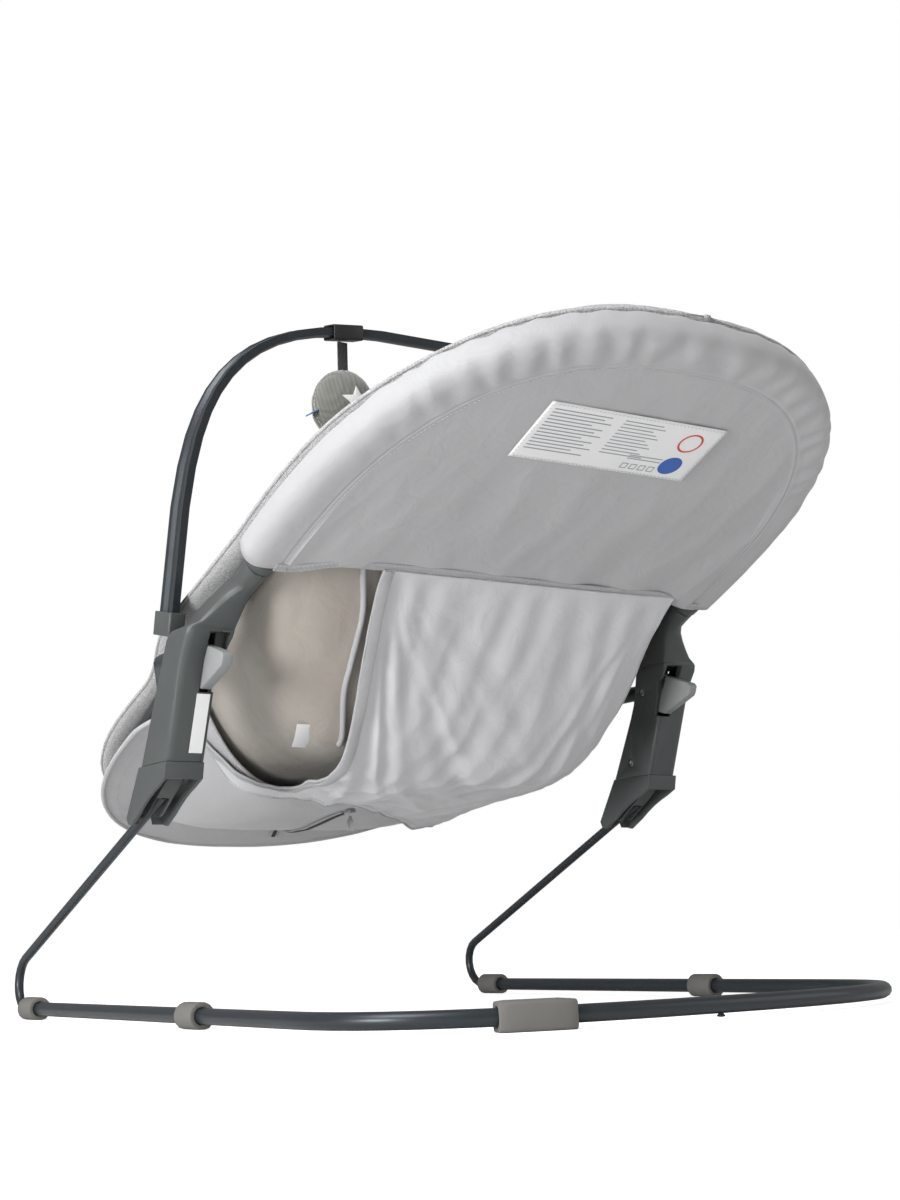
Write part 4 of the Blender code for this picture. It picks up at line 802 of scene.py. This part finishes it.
def apron_point(t, share, extra=0.0):
    """The loose apron: t before its hem is slanted, share from 1 (left) to -1."""
    top = APRON_SEAM
    down = apron_share(t, top)
    near = APRON_TOP[0] + (APRON_HEM[0] - APRON_TOP[0]) * down ** 3
    far = APRON_TOP[1] + (APRON_HEM[1] - APRON_TOP[1]) * down
    # the left edge is drawn in where it runs past the gap
    near -= 0.010 * math.sin(math.pi * min(max(down, 0.0), 1.0)) ** 2
    near += APRON_FLARE * fraction(0.74, 1.0, down)
    x = (near + far) / 2 + (near - far) / 2 * share
    middle, half = (sum(APRON_HEM) / 2, (APRON_HEM[0] - APRON_HEM[1]) / 2)
    place = (x - middle) / half
    reach = HEM_FAR * fraction(-0.45, 0.80, -place) + HEM_CORNER * fraction(0.72, 1.0, place)
    at = t - reach * down
    loose = fraction(0.0, 0.25, down)
    depth = sizes().apron_fold
    crease = folds(x * 1.1 + at * 0.5, at * 0.9, 0.070, 21.0) * 0.7
    crease += 0.80 * hanging_folds(x, at, top) + 0.42 * crumples(x, at)
    crease *= depth * loose
    pulls = math.sin(x * 170 + 5 * noise.noise(Vector((x * 11, at * 6, 4)))) * 0.0013
    pulls *= fraction(0.0, 0.06, down) * (1 - fraction(0.1, 0.75, down))
    lift = -0.0125 - 0.0078 * fraction(0.02, 0.11, -at) - crease - pulls + extra
    return pan_point(at, x, lift)


def hanging_folds(x, at, top):
    """Sharp folds that fan out from the apron's two upper corners, about -1 to 1."""
    total = 0.0
    for corner in APRON_TOP:
        away, drop = x - corner, top - at + 0.004
        angle, far = math.atan2(abs(away), drop), math.hypot(away, drop)
        ray = 1 - 2 * abs(noise.noise(Vector((angle * 6.5, far * 7, corner * 40))))
        total += (ray - 0.5) * fraction(0.01, 0.07, far) * (1 - fraction(0.15, 0.34, far))
    return total


def crumples(x, at):
    """Small sharp creases that cross each other, from -1 to 1."""
    bend = noise.noise(Vector((x * 18, at * 18, 5.0))) * 0.022
    one = 1 - 2 * abs(noise.noise(Vector(((x + bend) * 34 + at * 22, (at - bend) * 15, 8.0))))
    two = 1 - 2 * abs(noise.noise(Vector(((x - bend) * 30 - at * 44, (at + bend) * 36, 14.0))))
    return 0.7 * one + 0.5 * two - 0.4


def build_apron():
    top = APRON_SEAM
    stations = spread(top, HEM_AT, 80)
    shares = spread(1.0, -1.0, 110)
    # The apron's cloth is the cover's cloth painted lighter: painted light
    apron = cloth("apron_cloth", apron_point, stations, shares, 0.0011, "apron_polyester_painted_light", (0, 0.1, -1))
    dress(apron, "seat", "grey_polyester", "rear_apron")
    # rolled hem, the turned side edges and the tape on the left one
    paths = {"apron_front_hem": [apron_point(HEM_AT + 0.002, s, 0.0004) for s in shares],
             "apron_left_edge": [apron_point(t, 1.0, 0.0004) for t in stations],
             "apron_right_edge": [apron_point(t, -1.0, 0.0004) for t in stations]}
    for name, path in paths.items():
        cord_of(name, path, 0.0017 if "hem" in name else 0.0012, "grey_polyester")
    bound = [apron_point(t, EDGE_SHARE, -0.0004) for t in stations]
    across = [(apron_point(t, 1.0) - apron_point(t, 0.94)).normalized() for t in stations]
    facing = []
    for t, side in zip(stations, across):
        along = apron_point(t + 0.002, EDGE_SHARE) - apron_point(t - 0.002, EDGE_SHARE)
        up = side.cross(along).normalized()
        facing.append(up if up.z < 0 else -up)
    tape = ribbon("apron_edge_binding", bound, across, facing, 0.0085, 0.0011, "binding")
    dress(tape, "seat", "grey_polyester")
    lines = [[apron_point(HEM_AT + 0.009, s, -0.0004) for s in shares]]
    thread = stitches("apron_stitches", lines)


def cord_of(name, path, radius, finish, sides=8, body="seat", slot="grey_polyester"):
    """A round piping along a path."""
    rings = []
    for i, p in enumerate(path):
        ahead = path[min(i + 1, len(path) - 1)]
        behind = path[max(i - 1, 0)]
        direction = (ahead - behind).normalized()
        side = direction.orthogonal() if i == 0 else last - direction * last.dot(direction)
        side.normalize()
        last = side
        up = direction.cross(side)
        swell = 1 + 0.12 * noise.noise(p * 60)
        for k in range(sides):
            a = 2 * math.pi * k / sides
            rings.append(p + side * (radius * swell * math.cos(a)) + up * (radius * swell * math.sin(a)))
    faces = []
    for i in range(len(path) - 1):
        for k in range(sides):
            n = (k + 1) % sides
            here, next_ring = i * sides, (i + 1) * sides
            faces.append((here + k, here + n, next_ring + n, next_ring + k))
    faces.append(tuple(range(sides)))
    faces.append(tuple(range(len(rings) - sides, len(rings))))
    ob = new_object(name, rings, faces)
    merge(ob, 0.00001)
    ob.data.materials.append(MATERIALS[finish])
    return dress(ob, body, slot)


def foot_stations(steps, least=0.03):
    """Places along the rounded foot end, closer together towards its tip."""
    last = (1 - least ** LEG_POWER) ** (1 / LEG_POWER)
    reach = LEG_LENGTH - LEG_STRAIGHT
    return [-LEG_STRAIGHT - reach * last * math.sin(math.pi / 2 * i / steps) for i in range(1, steps + 1)]


def pocket_point(t, share, extra=0.0):
    """A point of the foot pocket's lower side, share from 1 (left) to -1."""
    drawn_in = POCKET_DRAWN * fraction(LEG_STRAIGHT, -POCKET_END, -t)
    x = half_width(t) * share * (1 - drawn_in)
    rim = 1 - abs(share)
    end = LEG_LENGTH + t
    soft = folds(x, t, 0.070, 31.0) * 0.0026 * fraction(0.0, 0.16, rim) * fraction(0.0, 0.05, end)
    rim_pulls = math.sin(t * 260 + 3 * noise.noise(Vector((t * 14, x * 9, 2)))) * 0.0008
    rim_pulls *= fraction(0.0, 0.05, rim) * (1 - fraction(0.05, 0.35, rim))
    return pan_point(t, x, POCKET_OUTSIDE - soft - rim_pulls + extra)


def zip_points(extra):
    """Points of the zip's line on the pocket."""
    path = []
    for (x0, t0), (x1, t1) in zip(ZIP_LINE, ZIP_LINE[1:]):
        for q in spread(0.0, 1.0, 10)[:-1]:
            x, t = x0 + (x1 - x0) * q, t0 + (t1 - t0) * q
            share = x / max(half_width(t), 0.01)
            path.append(pocket_point(t, share, extra))
    return path


def build_pocket():
    stations = foot_stations(26)[::-1] + spread(-LEG_STRAIGHT, POCKET_END, 22)
    shares = spread(-1.0, 1.0, 84)
    wall = cloth("pocket_cloth", pocket_point, stations, shares, 0.0011, "grey_polyester", (0, -0.2, -1))
    dress(wall, "seat", "grey_polyester", "foot_pocket")
    rim = [pocket_point(t, 1.0, 0.0006) for t in stations[::-1]]
    rim += [pocket_point(t, -1.0, 0.0006) for t in stations]
    edge = cord_of("pocket_rim", rim, 0.0022, "grey_polyester")
    mouth = cord_of("pocket_mouth_hem", [pocket_point(POCKET_END - 0.001, s, 0.0004) for s in shares],
                    0.0016, "grey_polyester")
    inner = [pocket_point(t, 0.93, -0.0005) for t in stations]
    other = [pocket_point(t, -0.93, -0.0005) for t in stations]
    across = [pocket_point(POCKET_END - 0.009, s, -0.0005) for s in shares]
    thread = stitches("pocket_stitches", [inner, other, across])
    closure = zip_points(-0.0006)
    flat = [Vector((1, 0, 0))] * len(closure)
    down = [Vector((0, 0, -1))] * len(closure)
    tape = ribbon("zip_tape", closure, flat, down, 0.011, 0.0007, "binding")
    dress(tape, "seat", "grey_polyester")
    teeth = repeat_along("zip_teeth", [zip_points(-0.0016)], "black_plastic", "seat", "black_plastic",
                         0.0021, 0.0036, 0.0011, box_shape=True)


SLING_SQUARE = 0.042             # pitch of the lining's shallow quilted squares
SLING_THICK = 0.0030
TAG_LEAN = 0.010


def sling_point(t, share, extra=0.0):
    """A point of the sling's lower side, share from 1 (left) to -1."""
    x = pan_half(t) * share
    u, v = x / SLING_SQUARE, t / SLING_SQUARE
    puff = abs(math.sin(math.pi * u)) ** 0.5 * abs(math.sin(math.pi * v)) ** 0.5
    crumple = folds(x, t, 0.030, 41.0) * 0.0014 + folds(x, t, 0.011, 43.0) * 0.0006
    return pan_point(t, x, SLING_TOP - 0.0046 - 0.0010 * puff - crumple + extra)


def build_sling():
    stations = spread(SLING[0], SLING[1], 84)
    shares = spread(-1.0, 1.0, 84)
    sling = cloth("sling_cloth", sling_point, stations, shares, SLING_THICK, "taupe_satin",
                  (0, 0, -1), levels=0)
    dress(sling, "seat", "taupe_satin", "seat_sling")
    lines = [[sling_point(t, side * 0.955, -0.0004) for t in stations] for side in (1.0, -1.0)]
    thread = stitches("sling_stitches", lines, finish="thread_pale", slot="taupe_satin")
    seam = []
    for t in spread(COVER_HEM, SEAM_END, 60):
        x = SEAM_X + SEAM_SPREAD * (fraction(-0.015, COVER_HEM, t) - fraction(-0.040, SEAM_END, t))
        seam.append(sling_point(t, x / pan_half(t), -0.0016))
    piping = cord_of("sling_seam_piping", seam, 0.0026, "grey_polyester")
    tag_at = spread(TAG[1], TAG[1] - TAG_LENGTH, 10)
    tag_line = []
    for t in tag_at:
        x = TAG[0] - TAG_LEAN * (TAG[1] - t) / TAG_LENGTH
        tag_line.append(sling_point(t, x / pan_half(t), -0.0022))
    count = len(tag_line)
    tag = ribbon("sling_tag", tag_line, [Vector((1, 0, 0))] * count, [Vector((0, 0, -1))] * count,
                 TAG_WIDTH, 0.0006, "label_white")
    dress(tag, "seat", "label_white")
    edges = [cord_of(f"sling_piping_{name}", [sling_point(t, side, -0.0008) for t in stations],
                     0.0024, "webbing", slot="webbing") for name, side in SIDES]


# ---------------------------------------------------------------- padded seat
PAD_INSET = 0.0030
PAD_TIP = 0.06                   # width of the last row at each end, as a share
PAD_MIDDLE = PAD_LIFT + PAD_THICK * 0.45
QUILT_LINES = (-0.395, -0.300, -0.205, -0.110, -0.012, 0.060, 0.150)


def pad_rows():
    rows = foot_stations(18, least=PAD_TIP)[::-1]
    rows += spread(-LEG_STRAIGHT, BACK_BULGE, 62)
    reach = BACK_LENGTH - BACK_BULGE
    last = (1 - PAD_TIP ** BACK_POWER) ** (1 / BACK_POWER)
    rows += [BACK_BULGE + reach * last * math.sin(math.pi / 2 * i / 30) for i in range(1, 31)]
    return rows


def seam_bow(x):
    """How far a sewn seam of the pad curves towards the head at x."""
    return 0.014 * (x / 0.2) ** 2


def channel(distance, half):
    """Depth, 0 to 1, of a sewn channel at a distance from its seam."""
    return max(1 - abs(distance) / half, 0.0) ** 1.6


def pad_surface(t, share, face):
    """The pad's front (face = 1) or back (-1), with quilted channels and a rounded edge."""
    half = max(half_width(t, PAD_INSET), 0.002)
    x = half * share
    ends = min(BACK_LENGTH - t, LEG_LENGTH + t)
    rim = min(half * (1 - abs(share)), ends)
    reach = 0.015 + 0.022 * fraction(0.12, 0.24, t)
    round_off = max(1 - (1 - min(rim / reach, 1.0)) ** 2, 0.0) ** 0.5
    thick = PAD_THICK / 2 * (0.12 + 0.88 * round_off)
    drop = 0.0045 * fraction(0.12, 0.24, t) * (1 - fraction(0.0, 0.03, rim))
    if face > 0:
        seam = max(channel(t - line - seam_bow(x), 0.011) for line in QUILT_LINES)
        side_seam = channel(rim - 0.045, 0.009)
        depth = max(seam * fraction(0.0, 0.012, rim - 0.045), side_seam)
        thick -= sizes().quilt_depth * depth * round_off
        thick += 0.0010 * folds(x, t, 0.05, 51.0) * round_off
    else:
        thick += 0.0005 * folds(x, t, 0.05, 61.0) * round_off
    return pan_point(t, x, PAD_MIDDLE + face * thick - drop)


def build_pad():
    rows = pad_rows()
    shares = [math.sin(math.pi / 2 * s) * 0.55 + s * 0.45 for s in spread(-1.0, 1.0, 96)]
    count = len(shares)
    points = [pad_surface(t, s, 1) for t in rows for s in shares]
    points += [pad_surface(t, s, -1) for t in rows for s in shares]
    under = len(rows) * count
    faces = grid_faces(len(rows), count)
    faces += [f[::-1] for f in grid_faces(len(rows), count, under)]
    for i in range(len(rows) - 1):
        for j in (0, count - 1):
            a, b = i * count + j, (i + 1) * count + j
            faces.append((a, b, under + b, under + a))
    for i in (0, len(rows) - 1):
        for j in range(count - 1):
            a = i * count + j
            faces.append((a, a + 1, under + a + 1, under + a))
    pad = new_object("seat_pad_cloth", points, faces)
    merge(pad)
    plump(pad)
    pad.data.materials.append(MATERIALS["melange_knit"])
    dress(pad, "seat", "melange_knit", "seat_pad")
    lines = []
    for line in QUILT_LINES:
        run = []
        for s in spread(-0.80, 0.80, 90):
            x = half_width(line, PAD_INSET) * s
            t = line + seam_bow(x)
            run.append(pad_surface(t, s, 1) + Vector((0, 0, 0.0004)))
        lines.append(run)
    stitches("pad_stitches", lines, slot="melange_knit")
    piping = []
    for t in pad_rows():
        piping.append(pad_surface(t, 1.0, 0))
    for t in pad_rows()[::-1]:
        piping.append(pad_surface(t, -1.0, 0))
    cord_of("pad_piping", piping, 0.0016, "melange_knit", slot="melange_knit")


PLUMP_FRAMES = 12
PLUMP_TRAVEL = 0.0022


def plump(pad):
    """Fills the pad a little by cloth pressure, and keeps its seams where they are."""
    rest = [v.co.copy() for v in pad.data.vertices]
    group = pad.vertex_groups.new(name="seams")
    for v in pad.data.vertices:
        t = (v.co.y - DATUM_Y - NECK[0]) / math.cos(BACK_ANGLE)
        near = max(channel(t - line, 0.012) for line in QUILT_LINES)
        rim = channel(half_width(t, PAD_INSET) - abs(v.co.x), 0.012)
        group.add([v.index], min(max(near, rim, 0.25), 1.0), "REPLACE")
    modifier = pad.modifiers.new("Filling", "CLOTH")
    settings = modifier.settings
    settings.use_pressure = True
    settings.uniform_pressure_force = 3.0
    settings.vertex_group_mass = "seams"
    settings.pin_stiffness = 1.0
    settings.effector_weights.gravity = 0.0
    settings.quality = 4
    modifier.collision_settings.use_self_collision = False
    scene = bpy.context.scene
    modifier.point_cache.frame_start = 1
    modifier.point_cache.frame_end = PLUMP_FRAMES
    for number in range(1, PLUMP_FRAMES + 1):
        scene.frame_set(number)
    graph = bpy.context.evaluated_depsgraph_get()
    blown = pad.evaluated_get(graph).to_mesh()
    for v, start, moved in zip(pad.data.vertices, rest, blown.vertices):
        travel = moved.co - start
        if travel.length > PLUMP_TRAVEL:
            travel *= PLUMP_TRAVEL / travel.length
        v.co = start + travel
    pad.modifiers.clear()
    scene.frame_set(1)
    pad.data.update()
    pad.data.shade_smooth()


# ---------------------------------------------------------------- straps and toys
def strap_on_pad(name, stations, width_at, node_name):
    """Webbing that lies on the pad along t, or across it at one t."""
    line, across, lifts = [], [], []
    for t, x in stations:
        line.append(pan_point(t, x, PAD_LIFT + PAD_THICK + 0.0012))
    for i, p in enumerate(line):
        ahead, behind = line[min(i + 1, len(line) - 1)], line[max(i - 1, 0)]
        direction = (ahead - behind).normalized()
        up = Vector((0, -math.sin(LEG_ANGLE), math.cos(LEG_ANGLE)))
        side = direction.cross(up).normalized()
        across.append(side)
        lifts.append(side.cross(direction).normalized())
    ob = ribbon(name, line, across, lifts, width_at, 0.0018, "webbing")
    dress(ob, "seat", "webbing", node_name)
    edges = []
    for side in (-0.40, 0.40):
        edges.append([p + a * (side * width_at) + u * 0.0020 for p, a, u in zip(line, across, lifts)])
    return ob, edges


def build_straps():
    threads = []
    crotch, edges = strap_on_pad("crotch_webbing", [(t, 0.0) for t in spread(-0.252, -0.158, 30)],
                                 2 * WEB_HALF, "crotch_strap")
    threads += edges
    for name, side in SIDES:
        run = [(-0.105, side * x) for x in spread(0.033, 0.197, 40)]
        strap, edges = strap_on_pad(f"waist_webbing_{name}", run, 0.0185, f"waist_strap_{name}")
        threads += edges
    stitches("strap_stitches", threads, finish="thread_dark", slot="webbing")


def plush_body(name, centre, half, height):
    """A stuffed drop-shaped toy with a stitched middle seam."""
    rings, segments = 30, 40
    points = []
    for i in range(rings + 1):
        v = i / rings
        polar = math.pi * v
        z = math.cos(polar)
        for j in range(segments):
            a = 2 * math.pi * j / segments
            wide = half * max(math.sin(polar), 0.0) ** 0.82 * (1.0 + 0.10 * (-z))
            seam = channel(math.sin(a) * wide, 0.0022) * 0.0012 * math.sin(polar)
            fuzz = 0.0008 * noise.noise(Vector((a * 2, z * 5, centre.x * 30)))
            r = wide - seam + fuzz
            points.append(centre + Vector((r * math.cos(a), 0.86 * r * math.sin(a), z * height / 2)))
    faces = []
    for i in range(rings):
        for j in range(segments):
            k = (j + 1) % segments
            here, above = i * segments, (i + 1) * segments
            faces.append((here + j, here + k, above + k, above + j))
    ob = new_object(name, points, faces)
    merge(ob, 0.0001)
    ob.data.materials.append(MATERIALS["plush"])
    return ob


PATCH_PROUD = 0.0012             # half the thickness of a felt patch


def patch(name, outline_points, centre, half, front, finish):
    """A flat felt patch pressed onto the toy's round front."""
    points, faces = [], []
    n = len(outline_points)
    rings = 5
    for proud in (PATCH_PROUD, -PATCH_PROUD):
        for q in range(rings + 1):
            for u, w in outline_points:
                x, z = u * q / rings, w * q / rings
                depth = math.sqrt(max(1 - (x / half) ** 2 - (z / (half * 1.02)) ** 2, 0.02))
                points.append(centre + Vector((x, front * (0.86 * half * depth + proud), z)))
    layer = n * (rings + 1)
    for q in range(rings):
        for j in range(n):
            k = (j + 1) % n
            faces.append((q * n + j, q * n + k, (q + 1) * n + k, (q + 1) * n + j))
            faces.append(tuple(layer + i for i in (q * n + k, q * n + j, (q + 1) * n + j, (q + 1) * n + k)))
    for j in range(n):
        k = (j + 1) % n
        faces.append((rings * n + j, rings * n + k, layer + rings * n + k, layer + rings * n + j))
    ob = new_object(name, points, faces)
    merge(ob, 0.00005)
    ob.data.set_sharp_from_angle(angle=math.radians(45))
    ob.data.materials.append(MATERIALS[finish])
    return ob


def star(radius, at=(0.0, 0.0)):
    points = []
    for i in range(10):
        a = math.pi / 2 + math.pi * i / 5
        r = radius if i % 2 == 0 else radius * 0.46
        points.append((at[0] + r * math.cos(a), at[1] + r * math.sin(a)))
    return points


def build_toys():
    for name, side in SIDES:
        low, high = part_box(f"toy_{name}")
        centre = (low + high) / 2
        half = (high.x - low.x) / 2 * 0.96
        body = plush_body(f"plush_{name}", centre, half, (high.z - low.z) * 0.99)
        dress(body, f"toy_{name}", "plush", f"toy_{name}")
        for front, label in ((1, "rear"), (-1, "front")):
            mark = patch(f"plush_star_{label}_{name}", star(half * 0.50, (0.0, 0.0)),
                         centre - Vector((0, 0, 0.004)), half * 1.02, front, "patch_white")
            dress(mark, f"toy_{name}", "plush")
        tag_at = centre + Vector((side * half * 0.96, 0, -0.010))
        tag = ribbon(f"plush_tag_{name}", [tag_at, tag_at + Vector((side * 0.007, 0, -0.004))],
                     [Vector((0, 1, 0))] * 2, [Vector((0, 0, 1))] * 2, 0.010, 0.0012, "patch_blue")
        dress(tag, f"toy_{name}", "plush")
        top = high.z
        low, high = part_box(f"toy_strap_{name}")
        middle = (low + high) / 2
        line = [Vector((middle.x, middle.y, z)) for z in spread(low.z - 0.002, high.z, 8)]
        web = ribbon(f"hanging_tape_{name}", line, [Vector((1, 0, 0))] * 9, [Vector((0, 1, 0))] * 9,
                     high.x - low.x, high.y - low.y, "webbing")
        dress(web, f"toy_{name}", "webbing", f"toy_strap_{name}")
        seam = []
        for i in range(1, 30):
            polar = math.pi * i / 30
            wide = half * math.sin(polar) ** 0.82 * (1.0 - 0.10 * math.cos(polar))
            seam.append(centre + Vector((wide, 0, math.cos(polar) * (top - centre.z) * 0.99)))
        stitches(f"plush_stitches_{name}", [seam], body=f"toy_{name}", slot="plush")


# ---------------------------------------------------------------- hard parts
EDGE_ROUND = {"dark_plastic": 0.0006, "trigger_plastic": 0.0005, "rubber": 0.0007, "black_plastic": 0.0004}
HIDDEN_PARTS = ("pivot_pin", "latch_bar", "recline_sector", "trigger_spring")
FACET = math.radians(1.0)
CORNER = math.radians(32)


def finish_hard_parts():
    """Rounds the edges of the frame's hard parts and gives each its finish, by its slot."""
    listed = frame["record"]["behaviour"]["bodies"].items()
    bodies = {name: body for body, names in listed for name in names}
    soft = ("melange_knit", "grey_polyester", "taupe_satin", "webbing", "plush")
    for part in frame["record"]["subparts"]:
        name, slot = part["node"], part["material_slot"]
        solid = frame["nodes"][name]
        material = MATERIALS["black_plastic" if name.startswith("toy_clip") else slot]
        if not solid.data.materials:
            solid.data.materials.append(material)
        for i in range(len(solid.material_slots)):
            solid.material_slots[i].material = material
        if slot in soft or name == "care_label" or name.startswith(HIDDEN_PARTS):
            continue
        dress(rounded_part(name, solid, EDGE_ROUND.get(slot, 0.0), material), bodies[name], slot, name)


def rounded_part(name, solid, radius, material):
    """A copy of a hard part with its facets merged, its corners eased and its curves smooth."""
    bm = bmesh.new()
    bm.from_mesh(solid.data)
    bmesh.ops.remove_doubles(bm, verts=bm.verts, dist=0.000002)
    bmesh.ops.dissolve_limit(bm, angle_limit=FACET, verts=bm.verts, edges=bm.edges)
    bmesh.ops.recalc_face_normals(bm, faces=bm.faces)
    if radius:
        corners = [e for e in bm.edges if len(e.link_faces) == 2 and e.calc_face_angle(0.0) > CORNER]
        bmesh.ops.bevel(bm, geom=corners, offset=radius, offset_type="OFFSET", segments=2, profile=0.5,
                        affect="EDGES", clamp_overlap=True)
    mesh = bpy.data.meshes.new(name + "_part")
    bm.to_mesh(mesh)
    bm.free()
    mesh.shade_smooth()
    mesh.set_sharp_from_angle(angle=math.radians(48))
    mesh.materials.append(material)
    ob = bpy.data.objects.new(name + "_part", mesh)
    bpy.context.collection.objects.link(ob)
    return ob


# ---------------------------------------------------------------- stage
LENS_SHARE = 1725.5 / 900         # focal length over the width of the frame
CAMERA_AT = (0.8027, 1.0353, 0.0616)      # from the drawing's datum
CAMERA_TURN = math.radians(146.158)
CAMERA_PITCH = math.radians(10.957)
CAMERA_ROLL = math.radians(-1.982)
FLOOR_GLOW = 0.72
SKY_LIGHT = 0.34


def build_camera():
    data = bpy.data.cameras.new("Camera")
    camera = bpy.data.objects.new("Camera", data)
    bpy.context.collection.objects.link(camera)
    data.sensor_fit = "HORIZONTAL"
    data.sensor_width = 36.0
    data.lens = data.sensor_width * LENS_SHARE
    data.clip_start = 0.01
    az, pitch = CAMERA_TURN, CAMERA_PITCH
    forward = Vector((-math.sin(az) * math.cos(pitch), math.cos(az) * math.cos(pitch), math.sin(pitch)))
    right = Vector((math.cos(az), math.sin(az), 0))
    up = right.cross(forward)
    c, s = math.cos(CAMERA_ROLL), math.sin(CAMERA_ROLL)
    across, rise = right * c + up * s, up * c - right * s
    at = Vector(CAMERA_AT) + Vector((0, DATUM_Y, 0))
    camera.matrix_world = Matrix(((across.x, rise.x, -forward.x, at.x),
                                  (across.y, rise.y, -forward.y, at.y),
                                  (across.z, rise.z, -forward.z, at.z), (0, 0, 0, 1)))
    bpy.context.scene.camera = camera


def area_light(name, at, target, size, power):
    data = bpy.data.lights.new(name, "AREA")
    data.size = size
    data.energy = power
    lamp = bpy.data.objects.new(name, data)
    bpy.context.collection.objects.link(lamp)
    lamp.location = at
    lamp.rotation_euler = (Vector(target) - Vector(at)).to_track_quat("-Z", "Y").to_euler()


def build_stage():
    build_camera()
    floor = new_object("floor", [(-6, -6, 0), (6, -6, 0), (6, 6, 0), (-6, 6, 0)], [(0, 1, 2, 3)], False)
    material, tree, shader = start_material("floor_paint", 0.75, specular=0.2)[:3]
    shader.inputs["Base Color"].default_value = (0.86, 0.86, 0.86, 1)
    shader.inputs["Emission Color"].default_value = (1, 1, 1, 1)
    seen = tree.nodes.new("ShaderNodeLightPath").outputs["Is Camera Ray"]
    glow = math_node(tree, "MULTIPLY", seen, FLOOR_GLOW)
    tree.links.new(glow, shader.inputs["Emission Strength"])
    floor.data.materials.append(material)
    area_light("key", (1.5, 0.6, 2.1), (0, 0, 0.25), 1.2, 44)
    area_light("side", (2.3, 0.75, 0.40), (0, 0, 0.28), 0.7, 40)
    area_light("fill", (-1.9, 1.5, 0.9), (0, 0, 0.25), 1.4, 7)
    world = bpy.data.worlds.new("studio")
    world.use_nodes = True
    tree = world.node_tree
    background = tree.nodes["Background"]
    background.inputs["Color"].default_value = (1, 1, 1, 1)
    seen = tree.nodes.new("ShaderNodeLightPath").outputs["Is Camera Ray"]
    level = tree.nodes.new("ShaderNodeMapRange")
    level.inputs["To Min"].default_value = SKY_LIGHT
    level.inputs["To Max"].default_value = 1.0
    tree.links.new(seen, level.inputs["Value"])
    tree.links.new(level.outputs[0], background.inputs["Strength"])
    bpy.context.scene.world = world
    bpy.context.scene.view_settings.view_transform = "Standard"


# ---------------------------------------------------------------- operators and panel
class BOUNCER_OT_stage(bpy.types.Operator):
    """Set up the pale floor, the soft lights and the camera"""

    bl_idname = "bouncer.stage"
    bl_label = "Stage"

    def execute(self, context):
        build_stage()
        return {"FINISHED"}


class BOUNCER_OT_finishes(bpy.types.Operator):
    """Make the materials and finish the hard parts"""

    bl_idname = "bouncer.finishes"
    bl_label = "Finishes"

    def execute(self, context):
        build_materials()
        finish_hard_parts()
        return {"FINISHED"}


class BOUNCER_OT_cover(bpy.types.Operator):
    """Make the backrest's rear cover with its hem and gathers"""

    bl_idname = "bouncer.cover"
    bl_label = "Rear cover"

    def execute(self, context):
        build_cover()
        return {"FINISHED"}


class BOUNCER_OT_label(bpy.types.Operator):
    """Make the label on the rear cover"""

    bl_idname = "bouncer.label"
    bl_label = "Care label"

    def execute(self, context):
        build_care_label()
        return {"FINISHED"}


class BOUNCER_OT_apron(bpy.types.Operator):
    """Make the loose apron under the seat"""

    bl_idname = "bouncer.apron"
    bl_label = "Apron"

    def execute(self, context):
        build_apron()
        return {"FINISHED"}


class BOUNCER_OT_pocket(bpy.types.Operator):
    """Make the foot pocket with its zip"""

    bl_idname = "bouncer.pocket"
    bl_label = "Foot pocket"

    def execute(self, context):
        build_pocket()
        return {"FINISHED"}


class BOUNCER_OT_sling(bpy.types.Operator):
    """Make the quilted sling under the pad"""

    bl_idname = "bouncer.sling"
    bl_label = "Sling"

    def execute(self, context):
        build_sling()
        return {"FINISHED"}


class BOUNCER_OT_pad(bpy.types.Operator):
    """Make the padded seat"""

    bl_idname = "bouncer.pad"
    bl_label = "Seat pad"

    def execute(self, context):
        build_pad()
        return {"FINISHED"}


class BOUNCER_OT_straps(bpy.types.Operator):
    """Make the harness webbing"""

    bl_idname = "bouncer.straps"
    bl_label = "Harness"

    def execute(self, context):
        build_straps()
        return {"FINISHED"}


class BOUNCER_OT_toys(bpy.types.Operator):
    """Make the hanging toys"""

    bl_idname = "bouncer.toys"
    bl_label = "Toys"

    def execute(self, context):
        build_toys()
        return {"FINISHED"}


OPERATORS = (BOUNCER_OT_stage, BOUNCER_OT_finishes, BOUNCER_OT_cover, BOUNCER_OT_label,
             BOUNCER_OT_apron, BOUNCER_OT_pocket, BOUNCER_OT_sling, BOUNCER_OT_pad,
             BOUNCER_OT_straps, BOUNCER_OT_toys)


class BOUNCER_PT_panel(bpy.types.Panel):
    """Lists the settings and the pieces"""

    bl_idname = "BOUNCER_PT_panel"
    bl_label = "Baby bouncer seat"
    bl_space_type = "VIEW_3D"
    bl_region_type = "UI"
    bl_category = "Bouncer"

    def draw(self, context):
        layout = self.layout
        for group in (context.scene.bouncer_sizes, context.scene.bouncer_colours):
            for key in group.__annotations__:
                layout.prop(group, key)
        for operator in OPERATORS:
            layout.operator(operator.bl_idname)


CLASSES = (BouncerSizes, BouncerColours) + OPERATORS + (BOUNCER_PT_panel,)


def register():
    for item in CLASSES:
        bpy.utils.register_class(item)
    bpy.types.Scene.bouncer_sizes = bpy.props.PointerProperty(type=BouncerSizes)
    bpy.types.Scene.bouncer_colours = bpy.props.PointerProperty(type=BouncerColours)


def unregister():
    del bpy.types.Scene.bouncer_colours
    del bpy.types.Scene.bouncer_sizes
    for item in reversed(CLASSES):
        bpy.utils.unregister_class(item)


def main():
    register()
    for operator in OPERATORS:
        group, name = operator.bl_idname.split(".")
        getattr(getattr(bpy.ops, group), name)()


if __name__ == "__main__":
    main()
